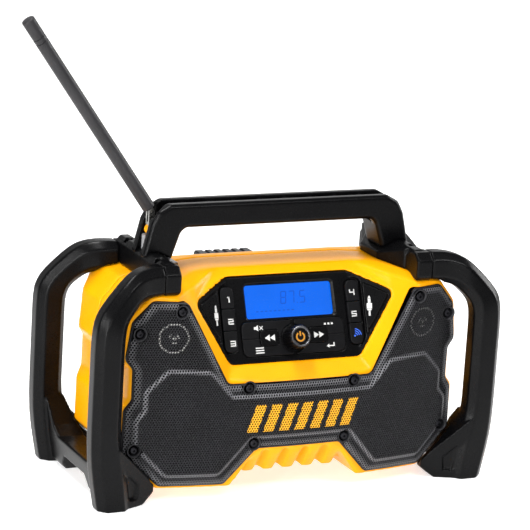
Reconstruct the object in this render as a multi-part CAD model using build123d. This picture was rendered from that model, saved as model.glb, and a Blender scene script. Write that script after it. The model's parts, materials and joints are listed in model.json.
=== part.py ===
"""Jobsite radio: a two-part housing in a pair of side cages.

It has two woofers and two tweeters, a control panel, a carry handle, an antenna and a battery door.

Millimetres. +X to the right seen from the front, +Y to the back, +Z up.
While it is modelled, X = 0 is the middle of the housing and Z = 0 is the floor.
At the end everything moves so that the origin is the centre of the bounding box's bottom.
"""
from build123d import *
import math
import os

# ---- fits ----
RUN = 0.3  # gap round keys, covers and other moving pieces
SEAT = 0.15  # gap between pieces that are fastened together
PIN_GAP = 0.06  # radial gap of pins, screws and shafts in their holes

# ---- housing ----
WALL = 3.0
FRONT_Y = -88.0  # middle of the curved front wall
FRONT_R = 664.0  # radius of that curve, seen from above
REAR_Y = 75.0
MID_Y = -5.0  # plane in which the cages, brackets and handle are symmetric
SPLIT_Y = 6.0  # where the front and rear halves meet
ROOF_Z = 210.5
BELLY_Z = 11.3
HALF_W = 173.8  # half width over the side lobes
WAIST_X = 166.4  # half width in the side notch
WAIST_Z = (97.5, 128.0)
SHOULDER = [(98.0, 208.0), (150.0, 195.5), (169.0, 173.5)]
TOE_X = (41.5, 72.5)  # half width of the front notch, top and bottom
TOE_Z = 45.1
TOE_TOP_Y, TOE_KNEE, TOE_BACK_Y = -78.8, (-61.7, 22.7), -20.0  # its floor: top, knee in Y and Z, back
TOE_RIBS = 5
TOE_RIB_PITCH, TOE_RIB_H, TOE_CREST_W = 20.6, 7.8, 10.0

# ---- control panel ----
PANEL_TILT = math.degrees(math.atan(0.42))  # leans back by this much
PANEL_Y, PANEL_Z = -73.3, 126.3  # middle of its lower edge
PANEL_TOP = 201.5
PANEL_FOLD_X = (62.8, 67.3)  # fold of the wings, top and bottom
PANEL_OUTLINE = [(67.3, 126.3), (102.5, 185.5), (62.8, 201.5)]
WING_LEAN = (0.446, 0.3935)  # how the wings come forward per mm of X, and back per mm of Z
PANEL_T = 3.0
PANEL_CORNER_R = 6.0
FRAME_OUTER = [(75.8, -83.8, 114.7), (116.4, -74.8, 191.1), (71.0, -31.5, 209.1)]

# ---- display ----
DISPLAY_W, DISPLAY_H = 89.2, 31.0
DISPLAY_UP = 57.6  # centre above the lower edge, along the panel
DISPLAY_CORNER_R, BEZEL_W = 2.5, 2.6
WINDOW_T = 1.6

# ---- keys ----
KEY_TRAVEL = 1.2
KEY_PROUD = 2.4
PRESET_X, PRESET_W, PRESET_PITCH = 65.2, 13.4, 20.6
PRESET_UP = (62.6, 42.0, 21.4)
CHANNEL = (57.0, 74.0, 8.5, 75.5)  # x from and to, up from and to
PRESET_END_R, PAD_CORNER_R, SEEK_CORNER_R = 6.0, 7.0, 3.0
PAD_HALF_W, PAD_UP = 53.0, (6.2, 38.6)
SEEK_X, SEEK_W, SEEK_H = 25.5, 19.0, 14.6
PAD_SPLIT = 22.8
BOARD_SINK = 12.0
BOARD_T = 1.6
DOME_H = 2.0
STEM_R = 2.0

# ---- volume knob ----
KNOB_UP = 21.0
KNOB_R, KNOB_FACE_R, KNOB_H = 11.25, 10.2, 16.5
KNOB_BORE_R = 6.6
KNOB_LOBES = 12
POWER_R, POWER_TRAVEL = 6.2, 1.0

# ---- port covers and sockets ----
COVER_OUTLINE = [(76.4, 147.5), (97.8, 183.3), (76.4, 192.0)]
COVER_CORNER_R, COVER_T, COVER_CUT = 2.5, 2.6, 0.8
COVER_PROUD = 1.0
KNUCKLE_R = 1.5
PORT_CENTRE = (82.5, 174.0)
AUX_R, AUX_DEPTH = 1.8, 15.0
CHARGE_W, CHARGE_H = 12.6, 5.4

# ---- grille ----
GRILLE_FRONT_Y = -93.0
GRILLE_T = 1.6
GRILLE_OUTLINE = [(0.0, 111.7), (73.9, 111.7), (116.4, 191.1), (148.0, 192.5), (166.0, 172.0),
                  (170.8, 136.1), (163.6, 127.5), (163.3, 98.0), (170.2, 88.2), (171.0, 47.5),
                  (135.7, 14.3), (73.9, 14.5), (42.8, 48.1), (0.0, 48.1)]
GRILLE_CORNER_R, FIELD_CORNER_R = 7.0, 6.0
FIELD_RISE = 2.0
FIELD_OUTLINE = [(0.0, 98.5), (72.0, 98.5), (94.0, 123.0), (132.0, 125.0), (150.5, 106.0), (150.5, 88.0),
                 (158.5, 79.0), (158.5, 56.0), (131.0, 27.5), (82.0, 27.5), (52.0, 62.0), (0.0, 62.0)]
GRILLE_SCREWS = [(161.0, 163.1), (120.8, 183.9), (161.0, 52.2), (52.6, 107.0), (45.0, 54.0)]

# ---- speakers ----
WOOFER_X, WOOFER_Z = 108.0, 72.0
WOOFER_FLANGE_R, WOOFER_OPEN_R = 43.0, 37.0
WOOFER_DEPTH, MAGNET_R, MAGNET_H = 44.0, 27.0, 14.0
CONE_R, CONE_NECK_R, CONE_DEPTH, CONE_T = 31.0, 11.0, 13.0, 1.2
TWEETER_X, TWEETER_Z = 128.6, 157.7
TWEETER_R, TWEETER_DEPTH, TWEETER_OPEN_R = 16.5, 15.0, 13.0

# ---- handle ----
CHEEK_Y = (7.0, 17.0)  # inner and outer face, from the middle plane
HANDLE_TOP, HANDLE_UNDER = 268.5, 246.0
HANDLE_OUTER = [(138.0, 216.0), (138.0, 222.0), (131.0, 251.0), (125.0, 262.0), (113.0, HANDLE_TOP)]
HANDLE_INNER = [(96.5, HANDLE_UNDER), (101.5, 241.5), (110.0, 216.0), (113.6, 206.0)]
HANDLE_CORNER_R, HANDLE_CUT = 7.0, 2.6
TROUGH_FLOOR = 5.0
LADDER_RIBS, LADDER_PITCH, LADDER_T, LADDER_Z = 8, 26.5, 2.4, 264.5
LEG_WEB_T = 3.0

# ---- brackets and cages ----
TUBE_W, TUBE_H, TUBE_CUT = 27.0, 30.0, 7.0
SEAM_X, STUB_X = 137.7, (121.5, 129.0)  # seam, and where the front and rear stubs begin
SEAM_Y, SEAM_Z = 56.5, 208.0  # Y from the middle plane
REAR_DROP = 4.0  # how much lower the rear hoops and stubs lie
POST_X, POST_Y = 194.5, 77.0
POST_HALF_X, POST_HALF_Y = 14.5, 13.4
BRACKET_TOP = [(137.7, 219.0), (133.0, 224.0), (125.0, 224.0), (98.0, 211.0)]
BRACKET_PLAN = [(104.0, -18.0), (120.0, -45.0), (SEAM_X, -45.0), (SEAM_X, 45.0), (127.0, 45.0),
                (104.0, 18.0)]
RAIL_X = (166.0, 190.0)
RAIL_Z = (16.6, 33.0)
FOOT_X = (152.3, 199.8)
CAGE_CLEAR = 1.2  # between the cage and the body it guards
TAB_HALF_Y = 23.0
SCREW_R, SCREW_HEAD_R, SCREW_HEAD_H = 2.0, 4.0, 2.6
BRACKET_SCREWS = (131.5, 38.0)

# ---- antenna ----
MAST_R, MAST_L, MAST_LEAN = 6.2, 221.3, 35.4
MAST_TIP_L, MAST_GROOVE = 20.0, 0.8
MAST_START = 3.0  # from the tilt pin to the rubber's lower end
MAST_RELIEF_R, MAST_RELIEF_Z = 11.6, 255.4  # round relief in the handle's cheeks for the folded mast
SWIVEL_X, BALL_Z, BALL_R = -127.0, 242.7, 5.0
BASE_R = 6.8
FORK_R, FORK_T, TANG_T = 2.6, 7.6, 3.0
TILT_Z = 260.5
TILT_PIN_R = 1.2

# ---- battery door ----
BAY_X, BAY_Z, BAY_Y = 52.0, (58.0, 150.0), 32.0
DOOR_X, DOOR_Z = 64.0, (42.0, 166.0)
DOOR_RIBS, DOOR_RIB_PITCH = 7, 16.0
DOOR_MID = -10.5  # X of the door's middle
HINGE_Z, HINGE_R, HINGE_PIN_R = 37.0, 4.2, 2.0
LATCH_X, LATCH_TOP, LATCH_DEPTH = 28.0, 194.5, 9.0
LATCH_PIN_R = 1.5

BIG = 400.0
AXES = {"x": Vector(1, 0, 0), "y": Vector(0, 1, 0), "z": Vector(0, 0, 1)}


# ---------------------------------------------------------------- helpers
def prism(points, axis, start, stop):
    """Straight prism: points lie across the axis, in the order of the other two axes."""
    order = {"x": (2, 0, 1), "y": (0, 2, 1), "z": (0, 1, 2)}[axis]
    corners = [Vector(*((*point, start)[k] for k in order)) for point in points]
    return Solid.extrude(Face(Wire.make_polygon(corners, close=True)), AXES[axis] * (stop - start))


def mirrored(half):
    """A closed outline in X and Z from its right half, given from the bottom round to the top or back."""
    return half + [(-x, z) for x, z in reversed(half) if x > 0]


def grown(points, by):
    """The outline with each side moved out by this much, in for a negative value."""
    area = sum(a[0] * b[1] - b[0] * a[1] for a, b in zip(points, points[1:] + points[:1]))
    turn = 1 if area > 0 else -1
    moved = []
    for before, here, after in zip(points[-1:] + points[:-1], points, points[1:] + points[:1]):
        normals = []
        for a, b in ((before, here), (here, after)):
            dx, dz = b[0] - a[0], b[1] - a[1]
            length = math.hypot(dx, dz)
            normals.append((turn * dz / length, -turn * dx / length))
        (ax, az), (bx, bz) = normals
        scale = by / (1 + ax * bx + az * bz)
        moved.append((here[0] + (ax + bx) * scale, here[1] + (az + bz) * scale))
    return moved


def rounded(points, radius, steps=4):
    """The outline with each corner turned into an arc, where its sides are long enough."""
    curved = []
    for before, here, after in zip(points[-1:] + points[:-1], points, points[1:] + points[:1]):
        here = Vector(*here)
        towards, onward = Vector(*before) - here, Vector(*after) - here
        half = math.radians(towards.get_angle(onward)) / 2
        reach = min(radius / math.tan(half), 0.45 * towards.length, 0.45 * onward.length)
        if reach < 0.3:
            curved.append((here.X, here.Y))
            continue
        start, end = here + towards.normalized() * reach, here + onward.normalized() * reach
        for k in range(steps + 1):
            t = k / steps
            spot = start * (1 - t) ** 2 + here * 2 * t * (1 - t) + end * t ** 2
            curved.append((spot.X, spot.Y))
    return curved


def chamfered(points, low, high, cut, place):
    """A prism whose upper edge is chamfered; place puts a point of the outline at a height."""
    rings = [Wire.make_polygon([place(x, y, height) for x, y in grown(points, -inset)], close=True)
             for inset, height in ((0, low), (0, high - cut), (cut, high))]
    return Solid.make_loft(rings, ruled=True)


def region(planes):
    """The convex space in front of every plane, each given as a point and its normal."""
    space = Box(BIG * 2, BIG * 2, BIG * 2)
    for point, normal in planes:
        space = split(space, bisect_by=Plane(origin=point, z_dir=normal), keep=Keep.TOP)
    return space


def plane_of(a, b, c, towards):
    """A plane through three points, as a point and the normal on the side of a fourth."""
    a, b, c = Vector(*a), Vector(*b), Vector(*c)
    normal = (b - a).cross(c - a).normalized()
    if normal.dot(Vector(*towards) - a) < 0:
        normal = -normal
    return a, normal


def moved_in(planes, by):
    """The same planes pushed back against their normals."""
    return [(point - normal * by, normal) for point, normal in planes]


def rod(start, axis, radius, length):
    return Solid.make_cylinder(radius, length, Plane(origin=Vector(*start), z_dir=Vector(*axis)))


def tapered(start, axis, radius, end_radius, length):
    return Solid.make_cone(radius, end_radius, length, Plane(origin=Vector(*start), z_dir=Vector(*axis)))


def block(x, y, z):
    """A box from its low and high values along each axis."""
    return prism([(x[0], y[0]), (x[1], y[0]), (x[1], y[1]), (x[0], y[1])], "z", z[0], z[1])


def both_sides(shape):
    return shape + mirror(shape, about=Plane.YZ)


# ---------------------------------------------------------------- housing form
ROOF_SIDE = [(-110.0, BELLY_Z), (REAR_Y - 20, BELLY_Z), (REAR_Y, 30.0), (REAR_Y, 190.0),
             (REAR_Y - 18, 197.0), (15.0, ROOF_Z),
             (-31.5, 209.3), (-60.0, 200.8), (-74.8, 194.0), (-84.0, 190.5), (-110.0, 190.5)]
PLAN = [(-HALF_W, -110.0), (HALF_W, -110.0), (HALF_W, REAR_Y - 29), (146.0, REAR_Y), (-146.0, REAR_Y),
        (-HALF_W, REAR_Y - 29)]
LOBE_SLOPE = 9.0  # height of the slanted step between lobe and notch
FRONT_VIEW = mirrored([(0.0, BELLY_Z), (137.0, BELLY_Z), (HALF_W, 46.5), (HALF_W, WAIST_Z[0] - LOBE_SLOPE),
                       (WAIST_X, WAIST_Z[0]), (WAIST_X, WAIST_Z[1]), (HALF_W, WAIST_Z[1] + LOBE_SLOPE)]
                      + SHOULDER[::-1] + [(71.0, ROOF_Z)])


def wing_y(x, z):
    """Where a wing's surface lies at this X and Z."""
    fold_y = PANEL_Y + (PANEL_TOP - PANEL_Z) * 0.42
    return fold_y - WING_LEAN[0] * (x - PANEL_FOLD_X[0]) + WING_LEAN[1] * (z - PANEL_TOP)


def panel_planes():
    """The three flats of the control panel."""
    top = (0.0, PANEL_Y + 0.42 * (PANEL_TOP - PANEL_Z), PANEL_TOP)
    ahead = (0.0, -BIG, BIG)
    planes = [plane_of((0.0, PANEL_Y, PANEL_Z), (10.0, PANEL_Y, PANEL_Z), top, ahead)]
    for side in (1, -1):
        corners = [(side * x, wing_y(x, z), z) for x, z in PANEL_OUTLINE]
        planes.append(plane_of(*corners, ahead))
    return planes


def scoop_planes():
    """The sunken space of the panel and its frame: panel flats, sill and side bands."""
    low, far, high = [(x, wing_y(x, z), z) for x, z in PANEL_OUTLINE]
    sill, corner, crest = FRAME_OUTER
    ahead = (0.0, -BIG, BIG)
    planes = panel_planes() + [plane_of((0.0, PANEL_Y, PANEL_Z), low, (0.0, sill[1], sill[2]), ahead)]
    for side in (1, -1):
        flip = lambda p, s=side: (s * p[0], p[1], p[2])
        planes.append(plane_of(flip(low), flip(far), flip(sill), ahead))
    return planes


def brow_planes():
    """The cut above the panel: the bands from its upper edges up to the roof."""
    low, far, high = [(x, wing_y(x, z), z) for x, z in PANEL_OUTLINE]
    sill, corner, crest = FRAME_OUTER
    ahead = (0.0, -BIG, BIG)
    planes = [plane_of((0.0, high[1], high[2]), high, (0.0, crest[1], crest[2]), ahead)]
    for side in (1, -1):
        flip = lambda p, s=side: (s * p[0], p[1], p[2])
        planes.append(plane_of(flip(high), flip(far), flip(crest), ahead))
        planes.append(plane_of(flip(far), flip(corner), flip(crest), ahead))
    return planes


def toe_notch(inset):
    """The notch under the grille's middle: a sloping floor down to a knee, then a level one to the back."""
    sides = grown([(-TOE_X[1], BELLY_Z), (TOE_X[1], BELLY_Z), (TOE_X[0], TOE_Z), (-TOE_X[0], TOE_Z)], inset)
    low = [(x, z - 3 * WALL if z < TOE_Z - 1 - inset else z) for x, z in sides]
    slope = (TOE_TOP_Y - TOE_KNEE[0]) / (TOE_Z - TOE_KNEE[1])
    top = TOE_Z + 20.0
    floor = [(-140.0, -20.0), (TOE_BACK_Y, -20.0), (TOE_BACK_Y, TOE_KNEE[1]), TOE_KNEE,
             (TOE_KNEE[0] + slope * (top - TOE_KNEE[1]), top), (-140.0, top)]
    return prism(low, "y", -120.0, 0.0) & prism(grown(floor, inset), "x", -120.0, 120.0)


def housing_form(inset):
    """The outer form of the whole housing, or that form taken in by this much."""
    form = prism(grown(FRONT_VIEW, -inset), "y", -120.0, 120.0)
    form &= prism(grown(ROOF_SIDE, -inset), "x", -220.0, 220.0)
    form &= prism(grown(PLAN, -inset), "z", -10.0, 240.0)
    form &= rod((0, FRONT_Y + FRONT_R, -10), (0, 0, 1), FRONT_R - inset, 260.0)
    form -= region(moved_in(scoop_planes(), inset))
    form -= region(moved_in(brow_planes(), inset))
    form -= toe_notch(inset)
    return form


def arc_y(x, front=FRONT_Y):
    """Where the curved front lies at this X."""
    return front + FRONT_R - math.sqrt(FRONT_R ** 2 - x ** 2)


def panel_prism(grow, start, stop):
    """The panel's outline as a prism along Y."""
    outline = rounded(grown(mirrored(PANEL_OUTLINE), grow), max(PANEL_CORNER_R + grow, 0.5))
    return prism(outline, "y", start, stop)


# ---------------------------------------------------------------- frame on the panel
NORMAL = Vector(0, -math.cos(math.radians(PANEL_TILT)), math.sin(math.radians(PANEL_TILT)))
PANEL = Plane(origin=(0, PANEL_Y, PANEL_Z), x_dir=(1, 0, 0), z_dir=NORMAL)


def on_panel(x, up, out=0.0):
    """A point by its place on the panel's middle flat: across, up along it, and out from it."""
    return PANEL.from_local_coords(Vector(x, up, out))


def panel_block(x, up, out):
    """A box square to the panel, from its low and high values across, up and out."""
    return panel_slab(rectangle(x, up), out)


def panel_slab(outline, out):
    """An outline across and up on the panel, as a slab from low to high out of it."""
    face = Face(Wire.make_polygon([on_panel(x, up, out[0]) for x, up in outline], close=True))
    return Solid.extrude(face, NORMAL * (out[1] - out[0]))


def rectangle(x, y):
    return [(x[0], y[0]), (x[1], y[0]), (x[1], y[1]), (x[0], y[1])]


def panel_rod(x, up, out, radius):
    start = on_panel(x, up, out[0])
    return rod(tuple(start), tuple(NORMAL), radius, out[1] - out[0])


def wing_frame(side):
    """A plane on a wing: centre of the port, local X towards the middle's outside, Z out."""
    x, z = PORT_CENTRE
    point, normal = panel_planes()[1 if side > 0 else 2]
    across = Vector(side, -WING_LEAN[0], 0).normalized()
    return Plane(origin=(side * x, wing_y(x, z), z), x_dir=across * side, z_dir=normal)


def wing_slab(outline, side, low, high):
    """An outline in X and Z laid on a wing, from low to high along the wing's normal."""
    frame = wing_frame(side)
    corners = [Vector(side * x, wing_y(x, z), z) + frame.z_dir * low for x, z in outline]
    return Solid.extrude(Face(Wire.make_polygon(corners, close=True)), frame.z_dir * (high - low))


def knuckle_line(side):
    """The hinge axis of a port cover: a point and a direction up along the cover's inner edge."""
    x = COVER_OUTLINE[0][0]
    frame = wing_frame(side)
    low, high = [Vector(side * x, wing_y(x, z), z) for z in (COVER_OUTLINE[0][1], COVER_OUTLINE[2][1])]
    sink = frame.z_dir * (KNUCKLE_R - COVER_PROUD)
    return low - sink, (high - low).normalized(), (high - low).length


# ---------------------------------------------------------------- screws
def screw(head_centre, axis, length, radius=SCREW_R):
    """A pan-head screw; axis points from the head into the material, head_centre is under the head."""
    axis = Vector(*axis).normalized()
    seat = Vector(*head_centre)
    head = rod(tuple(seat - axis * SCREW_HEAD_H), tuple(axis), SCREW_HEAD_R, SCREW_HEAD_H)
    socket = rod(tuple(seat - axis * SCREW_HEAD_H), tuple(axis), radius * 0.7, SCREW_HEAD_H * 0.6)
    return head + rod(tuple(seat), tuple(axis), radius, length) - socket


def screw_hole(head_centre, axis, length, recess=0.0, radius=SCREW_R):
    """The space a screw takes: its shank, its head and a recess above the head."""
    axis = Vector(*axis).normalized()
    seat = Vector(*head_centre)
    room = SCREW_HEAD_H + recess
    hole = rod(tuple(seat), tuple(axis), radius + PIN_GAP, length + 1.0)
    return hole + rod(tuple(seat - axis * room), tuple(axis), SCREW_HEAD_R + 0.4, room)


# ---------------------------------------------------------------- housing
def inward(x):
    """The direction into the housing, square to the curved front at this X."""
    angle = math.asin(x / FRONT_R)
    return Vector(-math.sin(angle), math.cos(angle), 0)


def at_front(x, z, depth):
    """A point under the curved front at this X, at a depth square to it."""
    return Vector(x, arc_y(x), z) + inward(x) * depth


def front_rod(x, z, low, high, radius):
    return rod(tuple(at_front(x, z, low)), tuple(inward(x)), radius, high - low)


def grille_screw_places():
    return [(side * x, z) for x, z in GRILLE_SCREWS for side in (1, -1)]


def grille_screw_seat(x):
    """Y of the face that a grille screw's head bears on."""
    return arc_y(x, GRILLE_SEAT_Y)


def bracket_screw_places():
    x, y = BRACKET_SCREWS
    return [(side * x, MID_Y + end * y) for side in (1, -1) for end in (1, -1)]


def chamfer_point(along):
    """A point on the housing's lower corner flat, in X and Z, and the flat's outward normal."""
    low, high = Vector(137.0, 0, BELLY_Z), Vector(HALF_W, 0, 46.5)
    normal = Vector(high.Z - low.Z, 0, low.X - high.X).normalized()
    return low + (high - low) * along, normal


def cage_screw_places():
    """Head seat and direction of each screw that holds a cage's tab."""
    point, normal = chamfer_point(TAB_ALONG)
    places = []
    for side in (1, -1):
        for y in (MID_Y - TAB_SCREW_Y, MID_Y + TAB_SCREW_Y):
            seat = point + normal * TAB_SEAT
            places.append(((side * seat.X, y, seat.Z), (-side * normal.X, 0, -normal.Z)))
    return places


def housing_screw_places():
    """Four screws from the back that pull the two halves together."""
    return [(side * x, z) for side in (1, -1) for x, z in HOUSING_SCREWS]


GRILLE_SEAT_Y = -90.2  # where the grille's screw cups end, at the middle
TAB_ALONG, TAB_SEAT, TAB_SCREW_Y = 0.42, 8.0, 18.0
HOUSING_SCREWS = [(140.0, 40.0), (132.0, 178.0)]
SHELL = housing_form(0) - housing_form(WALL)
CLEAR_OF_SHELL = housing_form(WALL + SEAT)


def front_housing():
    """Front half: curved baffle, sunken frame for the panel, and the ribbed toe."""
    half = SHELL & block((-BIG, BIG), (-BIG, SPLIT_Y), (-BIG, BIG))
    inside = housing_form(WALL / 2)
    half -= panel_prism(0.0, -120.0, 0.0)
    half += toe_ribs() - housing_form(WALL)
    for side in (1, -1):
        half -= front_rod(side * WOOFER_X, WOOFER_Z, -2, 12, WOOFER_OPEN_R)
        half -= front_rod(side * TWEETER_X, TWEETER_Z, -2, 12, TWEETER_OPEN_R)
    for x, z in grille_screw_places():
        half += rod((x, arc_y(x) + 1.0, z), (0, 1, 0), 2 * SCREW_R, 10.0) & inside
    for x, z in housing_screw_places():
        half += rod((x, SPLIT_Y - 24.0, z), (0, 1, 0), 2.2 * SCREW_R, 24.0) & inside
        half += housing_screw_rib(x, z, SPLIT_Y - 24.0, SPLIT_Y) & inside
    half += roof_posts(-1) & inside
    half += tab_bosses(-1) & inside
    for x, z in grille_screw_places():
        half -= rod((x, grille_screw_seat(x), z), (0, 1, 0), SCREW_R + PIN_GAP, 12.0)
    for x, z in housing_screw_places():
        half -= rod((x, SPLIT_Y - 20.0, z), (0, 1, 0), SCREW_R + PIN_GAP, 40.0)
    return half - body_screw_holes(-1)


def behind(y):
    return 1 if y > SPLIT_Y else -1


def roof_posts(half):
    """The posts under the roof that take one half's bracket screws."""
    posts = [rod((x, y, 180.0), (0, 0, 1), 2.2 * SCREW_R, 30.0)
             for x, y in bracket_screw_places() if behind(y) == half]
    return posts[0] + posts[1]


def tab_bosses(half):
    """The bosses in the lower corners that take the cage screws of one half."""
    bosses = [rod(tuple(Vector(*seat) + Vector(*axis) * 4.0), axis, 2.2 * SCREW_R, 16.0)
              for seat, axis in cage_screw_places() if behind(seat[1]) == half]
    return bosses[0] + bosses[1]


def body_screw_holes(half):
    """Holes for the bracket and cage screws that end in one half."""
    holes = [rod((x, y, 184.0), (0, 0, 1), SCREW_R + PIN_GAP, 40.0)
             for x, y in bracket_screw_places() if behind(y) == half]
    holes += [screw_hole(seat, axis, 16.0) for seat, axis in cage_screw_places() if behind(seat[1]) == half]
    cut = holes[0]
    for hole in holes[1:]:
        cut += hole
    return cut


def toe_ribs():
    """Upright ribs on the notch's slope, each with a flat crest, cut square at the knee."""
    along = Vector(0, TOE_TOP_Y - TOE_KNEE[0], TOE_Z - TOE_KNEE[1]).normalized()
    out = Vector(0, -along.Z, along.Y)
    root, crest, proud = TOE_RIB_PITCH / 2 - 0.4, TOE_CREST_W / 2, TOE_RIB_H
    outline = [(-root, -1.5), (root, -1.5), (root, 0.0), (crest + 0.8, proud - 1.0), (crest - 0.6, proud),
               (0.6 - crest, proud), (-crest - 0.8, proud - 1.0), (-root, 0.0)]
    ribs = None
    for k in range(TOE_RIBS):
        foot = Vector((k - (TOE_RIBS - 1) / 2) * TOE_RIB_PITCH, *TOE_KNEE)
        corners = [foot + Vector(x, 0, 0) + out * high for x, high in outline]
        rib = Solid.extrude(Face(Wire.make_polygon(corners, close=True)), along * 60.0)
        ribs = rib if ribs is None else ribs + rib
    return ribs & block((-TOE_X[1], TOE_X[1]), (FRONT_Y + 2.0, 0), (BELLY_Z, TOE_Z + 0.6))


def housing_screw_rib(x, z, start, stop):
    """Joins a screw post to the side wall."""
    side = 1 if x > 0 else -1
    return block(sorted((x, x + side * 40.0)), (start, stop), (z - 1.5, z + 1.5))


def aside(shape):
    """Moved from the middle to the battery door's own middle."""
    return shape.moved(Location((DOOR_MID, 0, 0)))


def rear_housing():
    """Rear half with the battery bay, the door's hinge ears and the posts for the main board."""
    half = SHELL & block((-BIG, BIG), (SPLIT_Y, BIG), (-BIG, BIG))
    inside = housing_form(WALL / 2)
    outer_x, outer_z = BAY_X + WALL, (BAY_Z[0] - WALL, BAY_Z[1] + WALL)
    half += aside(block((-outer_x, outer_x), (BAY_Y - WALL, REAR_Y - 1.0), outer_z))
    half -= aside(block((-BAY_X, BAY_X), (BAY_Y, REAR_Y + 5.0), BAY_Z))
    for x, z in housing_screw_places():
        half += rod((x, SPLIT_Y, z), (0, 1, 0), 2.2 * SCREW_R, 80.0) & inside
        half += housing_screw_rib(x, z, SPLIT_Y, SPLIT_Y + 30.0) & inside
    half += roof_posts(1) & inside
    half += tab_bosses(1) & inside
    for x, z in housing_screw_places():
        half -= screw_hole((x, HOUSING_SEAT_Y, z), (0, -1, 0), 50.0, recess=60.0)
    for low, high in EARS:
        ear = prism([(REAR_Y - 1.0, 31.0), (HINGE_Y, HINGE_Z - HINGE_R), (HINGE_Y, HINGE_Z + HINGE_R),
                     (REAR_Y - 1.0, HINGE_Z + HINGE_R)], "x", low, high)
        half += aside(ear + rod((low, HINGE_Y, HINGE_Z), (1, 0, 0), HINGE_R, high - low))
    reach = EARS[-1][1] + 1.0
    half -= aside(rod((-reach, HINGE_Y, HINGE_Z), (1, 0, 0), HINGE_PIN_R + PIN_GAP, 2 * reach))
    for x, z in BOARD_POSTS:
        start = BOARD_Y + BOARD_T + SEAT
        half += aside(rod((x, start, z), (0, 1, 0), 3.0, BAY_Y - WALL - start + 0.5))
    return half - body_screw_holes(1)


HOUSING_SEAT_Y = 44.0
HINGE_Y = REAR_Y + 6.0
EARS = [(-56.0, -51.0), (-18.0, 18.0), (51.0, 56.0)]
KNUCKLES = [(-50.6, -18.4), (18.4, 50.6)]
BOARD_Y = 18.0
BOARD_POSTS = [(-44.0, 66.0), (44.0, 66.0), (-44.0, 142.0), (44.0, 142.0)]


# ---------------------------------------------------------------- grille
def arc_space(front):
    return rod((0, FRONT_Y + FRONT_R, -10), (0, 0, 1), FRONT_R + FRONT_Y - front, 260.0)


def speaker_grille():
    """Pressed steel tray: rim turned back to the housing, raised fields over the speakers, screw cups."""
    outline = rounded(mirrored(GRILLE_OUTLINE), GRILLE_CORNER_R)
    field = rounded(mirrored(FIELD_OUTLINE), FIELD_CORNER_R)
    front, raised = GRILLE_FRONT_Y, GRILLE_FRONT_Y - FIELD_RISE
    outer = prism(outline, "y", -120.0, -60.0) & arc_space(front)
    outer += prism(field, "y", -120.0, -60.0) & arc_space(raised)
    inner = prism(grown(outline, -GRILLE_T), "y", -120.0, -50.0) & arc_space(front + GRILLE_T)
    inner += prism(grown(field, -GRILLE_T), "y", -120.0, -50.0) & arc_space(raised + GRILLE_T)
    tray = outer - inner
    for x, z in grille_screw_places():
        tray += rod((x, arc_y(x, front), z), (0, 1, 0), CUP_R, 14.0) & arc_space(front)
        tray -= rod((x, -120.0, z), (0, 1, 0), CUP_R - GRILLE_T, 120.0 + grille_screw_seat(x))
        tray -= rod((x, -120.0, z), (0, 1, 0), SCREW_R + PIN_GAP, 60.0)
    return tray - housing_form(-SEAT)


CUP_R = SCREW_HEAD_R + 0.4 + GRILLE_T


# ---------------------------------------------------------------- control panel
def control_fascia():
    """Folded black panel with its window, key openings, cover pockets and a flange behind."""
    planes = panel_planes()
    slab = region(moved_in(planes, PANEL_T)) - region(planes)
    skin = slab & panel_prism(-SEAT, -120.0, 0.0)
    flange = region(moved_in(planes, 2 * PANEL_T + SEAT)) - region(moved_in(planes, PANEL_T - 0.5))
    skin += (flange & panel_prism(4.0, -120.0, 0.0) & CLEAR_OF_SHELL) - panel_prism(-5.0, -120.0, 0.0)
    floor = panel_block((CHANNEL[0] - 2, CHANNEL[1] + 1), (CHANNEL[2] - 2, CHANNEL[3] + 1), (-PANEL_T, 1.0))
    within = panel_prism(-SEAT - 0.4, -120.0, 0.0)
    skin += both_sides(floor) & within - region(planes)
    channel = panel_slab(rounded(rectangle(CHANNEL[:2], CHANNEL[2:]), PRESET_END_R + 1.5), (0.0, 12.0))
    channel &= panel_prism(-2.5, -120.0, 0.0)
    skin -= both_sides(channel)
    for side in (1, -1):
        backing = wing_slab(grown(COVER_OUTLINE, 2.2), side, -POCKET_FLOOR - 2.6, -1.0)
        skin += backing & within
        skin -= wing_slab(grown(cover_outline(), RUN), side, -POCKET_FLOOR, 12.0)
        start, along, length = knuckle_line(side)
        skin -= rod(tuple(start - along * RUN), tuple(along), KNUCKLE_R + RUN, length + 2 * RUN)
    opening = display_outline()
    skin -= panel_slab(opening, (-12.0, 5.0))
    rings = [Wire.make_polygon([on_panel(x, up, out) for x, up in grown(opening, by)], close=True)
             for by, out in ((0.0, 0.4 - PANEL_T), (BEZEL_W, 0.0), (BEZEL_W, 3.0))]
    skin -= Solid.make_loft(rings, ruled=True)
    for side in (1, -1):
        for up in PRESET_UP:
            skin -= preset_block(side, up, RUN, -12.0, 8.0)
        skin -= pad_half(side, RUN, -12.0, 5.0)
    skin -= panel_rod(0, KNOB_UP, (-12.0, 5.0), SHAFT_OUTER_R + RUN)
    aux, charge = wing_frame(1), wing_frame(-1)
    skin -= rod(tuple(aux.origin - aux.z_dir * 30), tuple(aux.z_dir), AUX_BODY_R + PIN_GAP, 40.0)
    around = 2 * SOCKET_WALL + 2 * SEAT
    skin -= socket_block(charge, CHARGE_W + around, CHARGE_H + around, 30.0)
    return skin


POCKET_FLOOR = COVER_T - COVER_PROUD + 0.4
SHAFT_OUTER_R = 4.2
AUX_BODY_R = 4.2
SOCKET_WALL = 1.0
PRESET_H = PRESET_PITCH - 0.7


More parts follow.
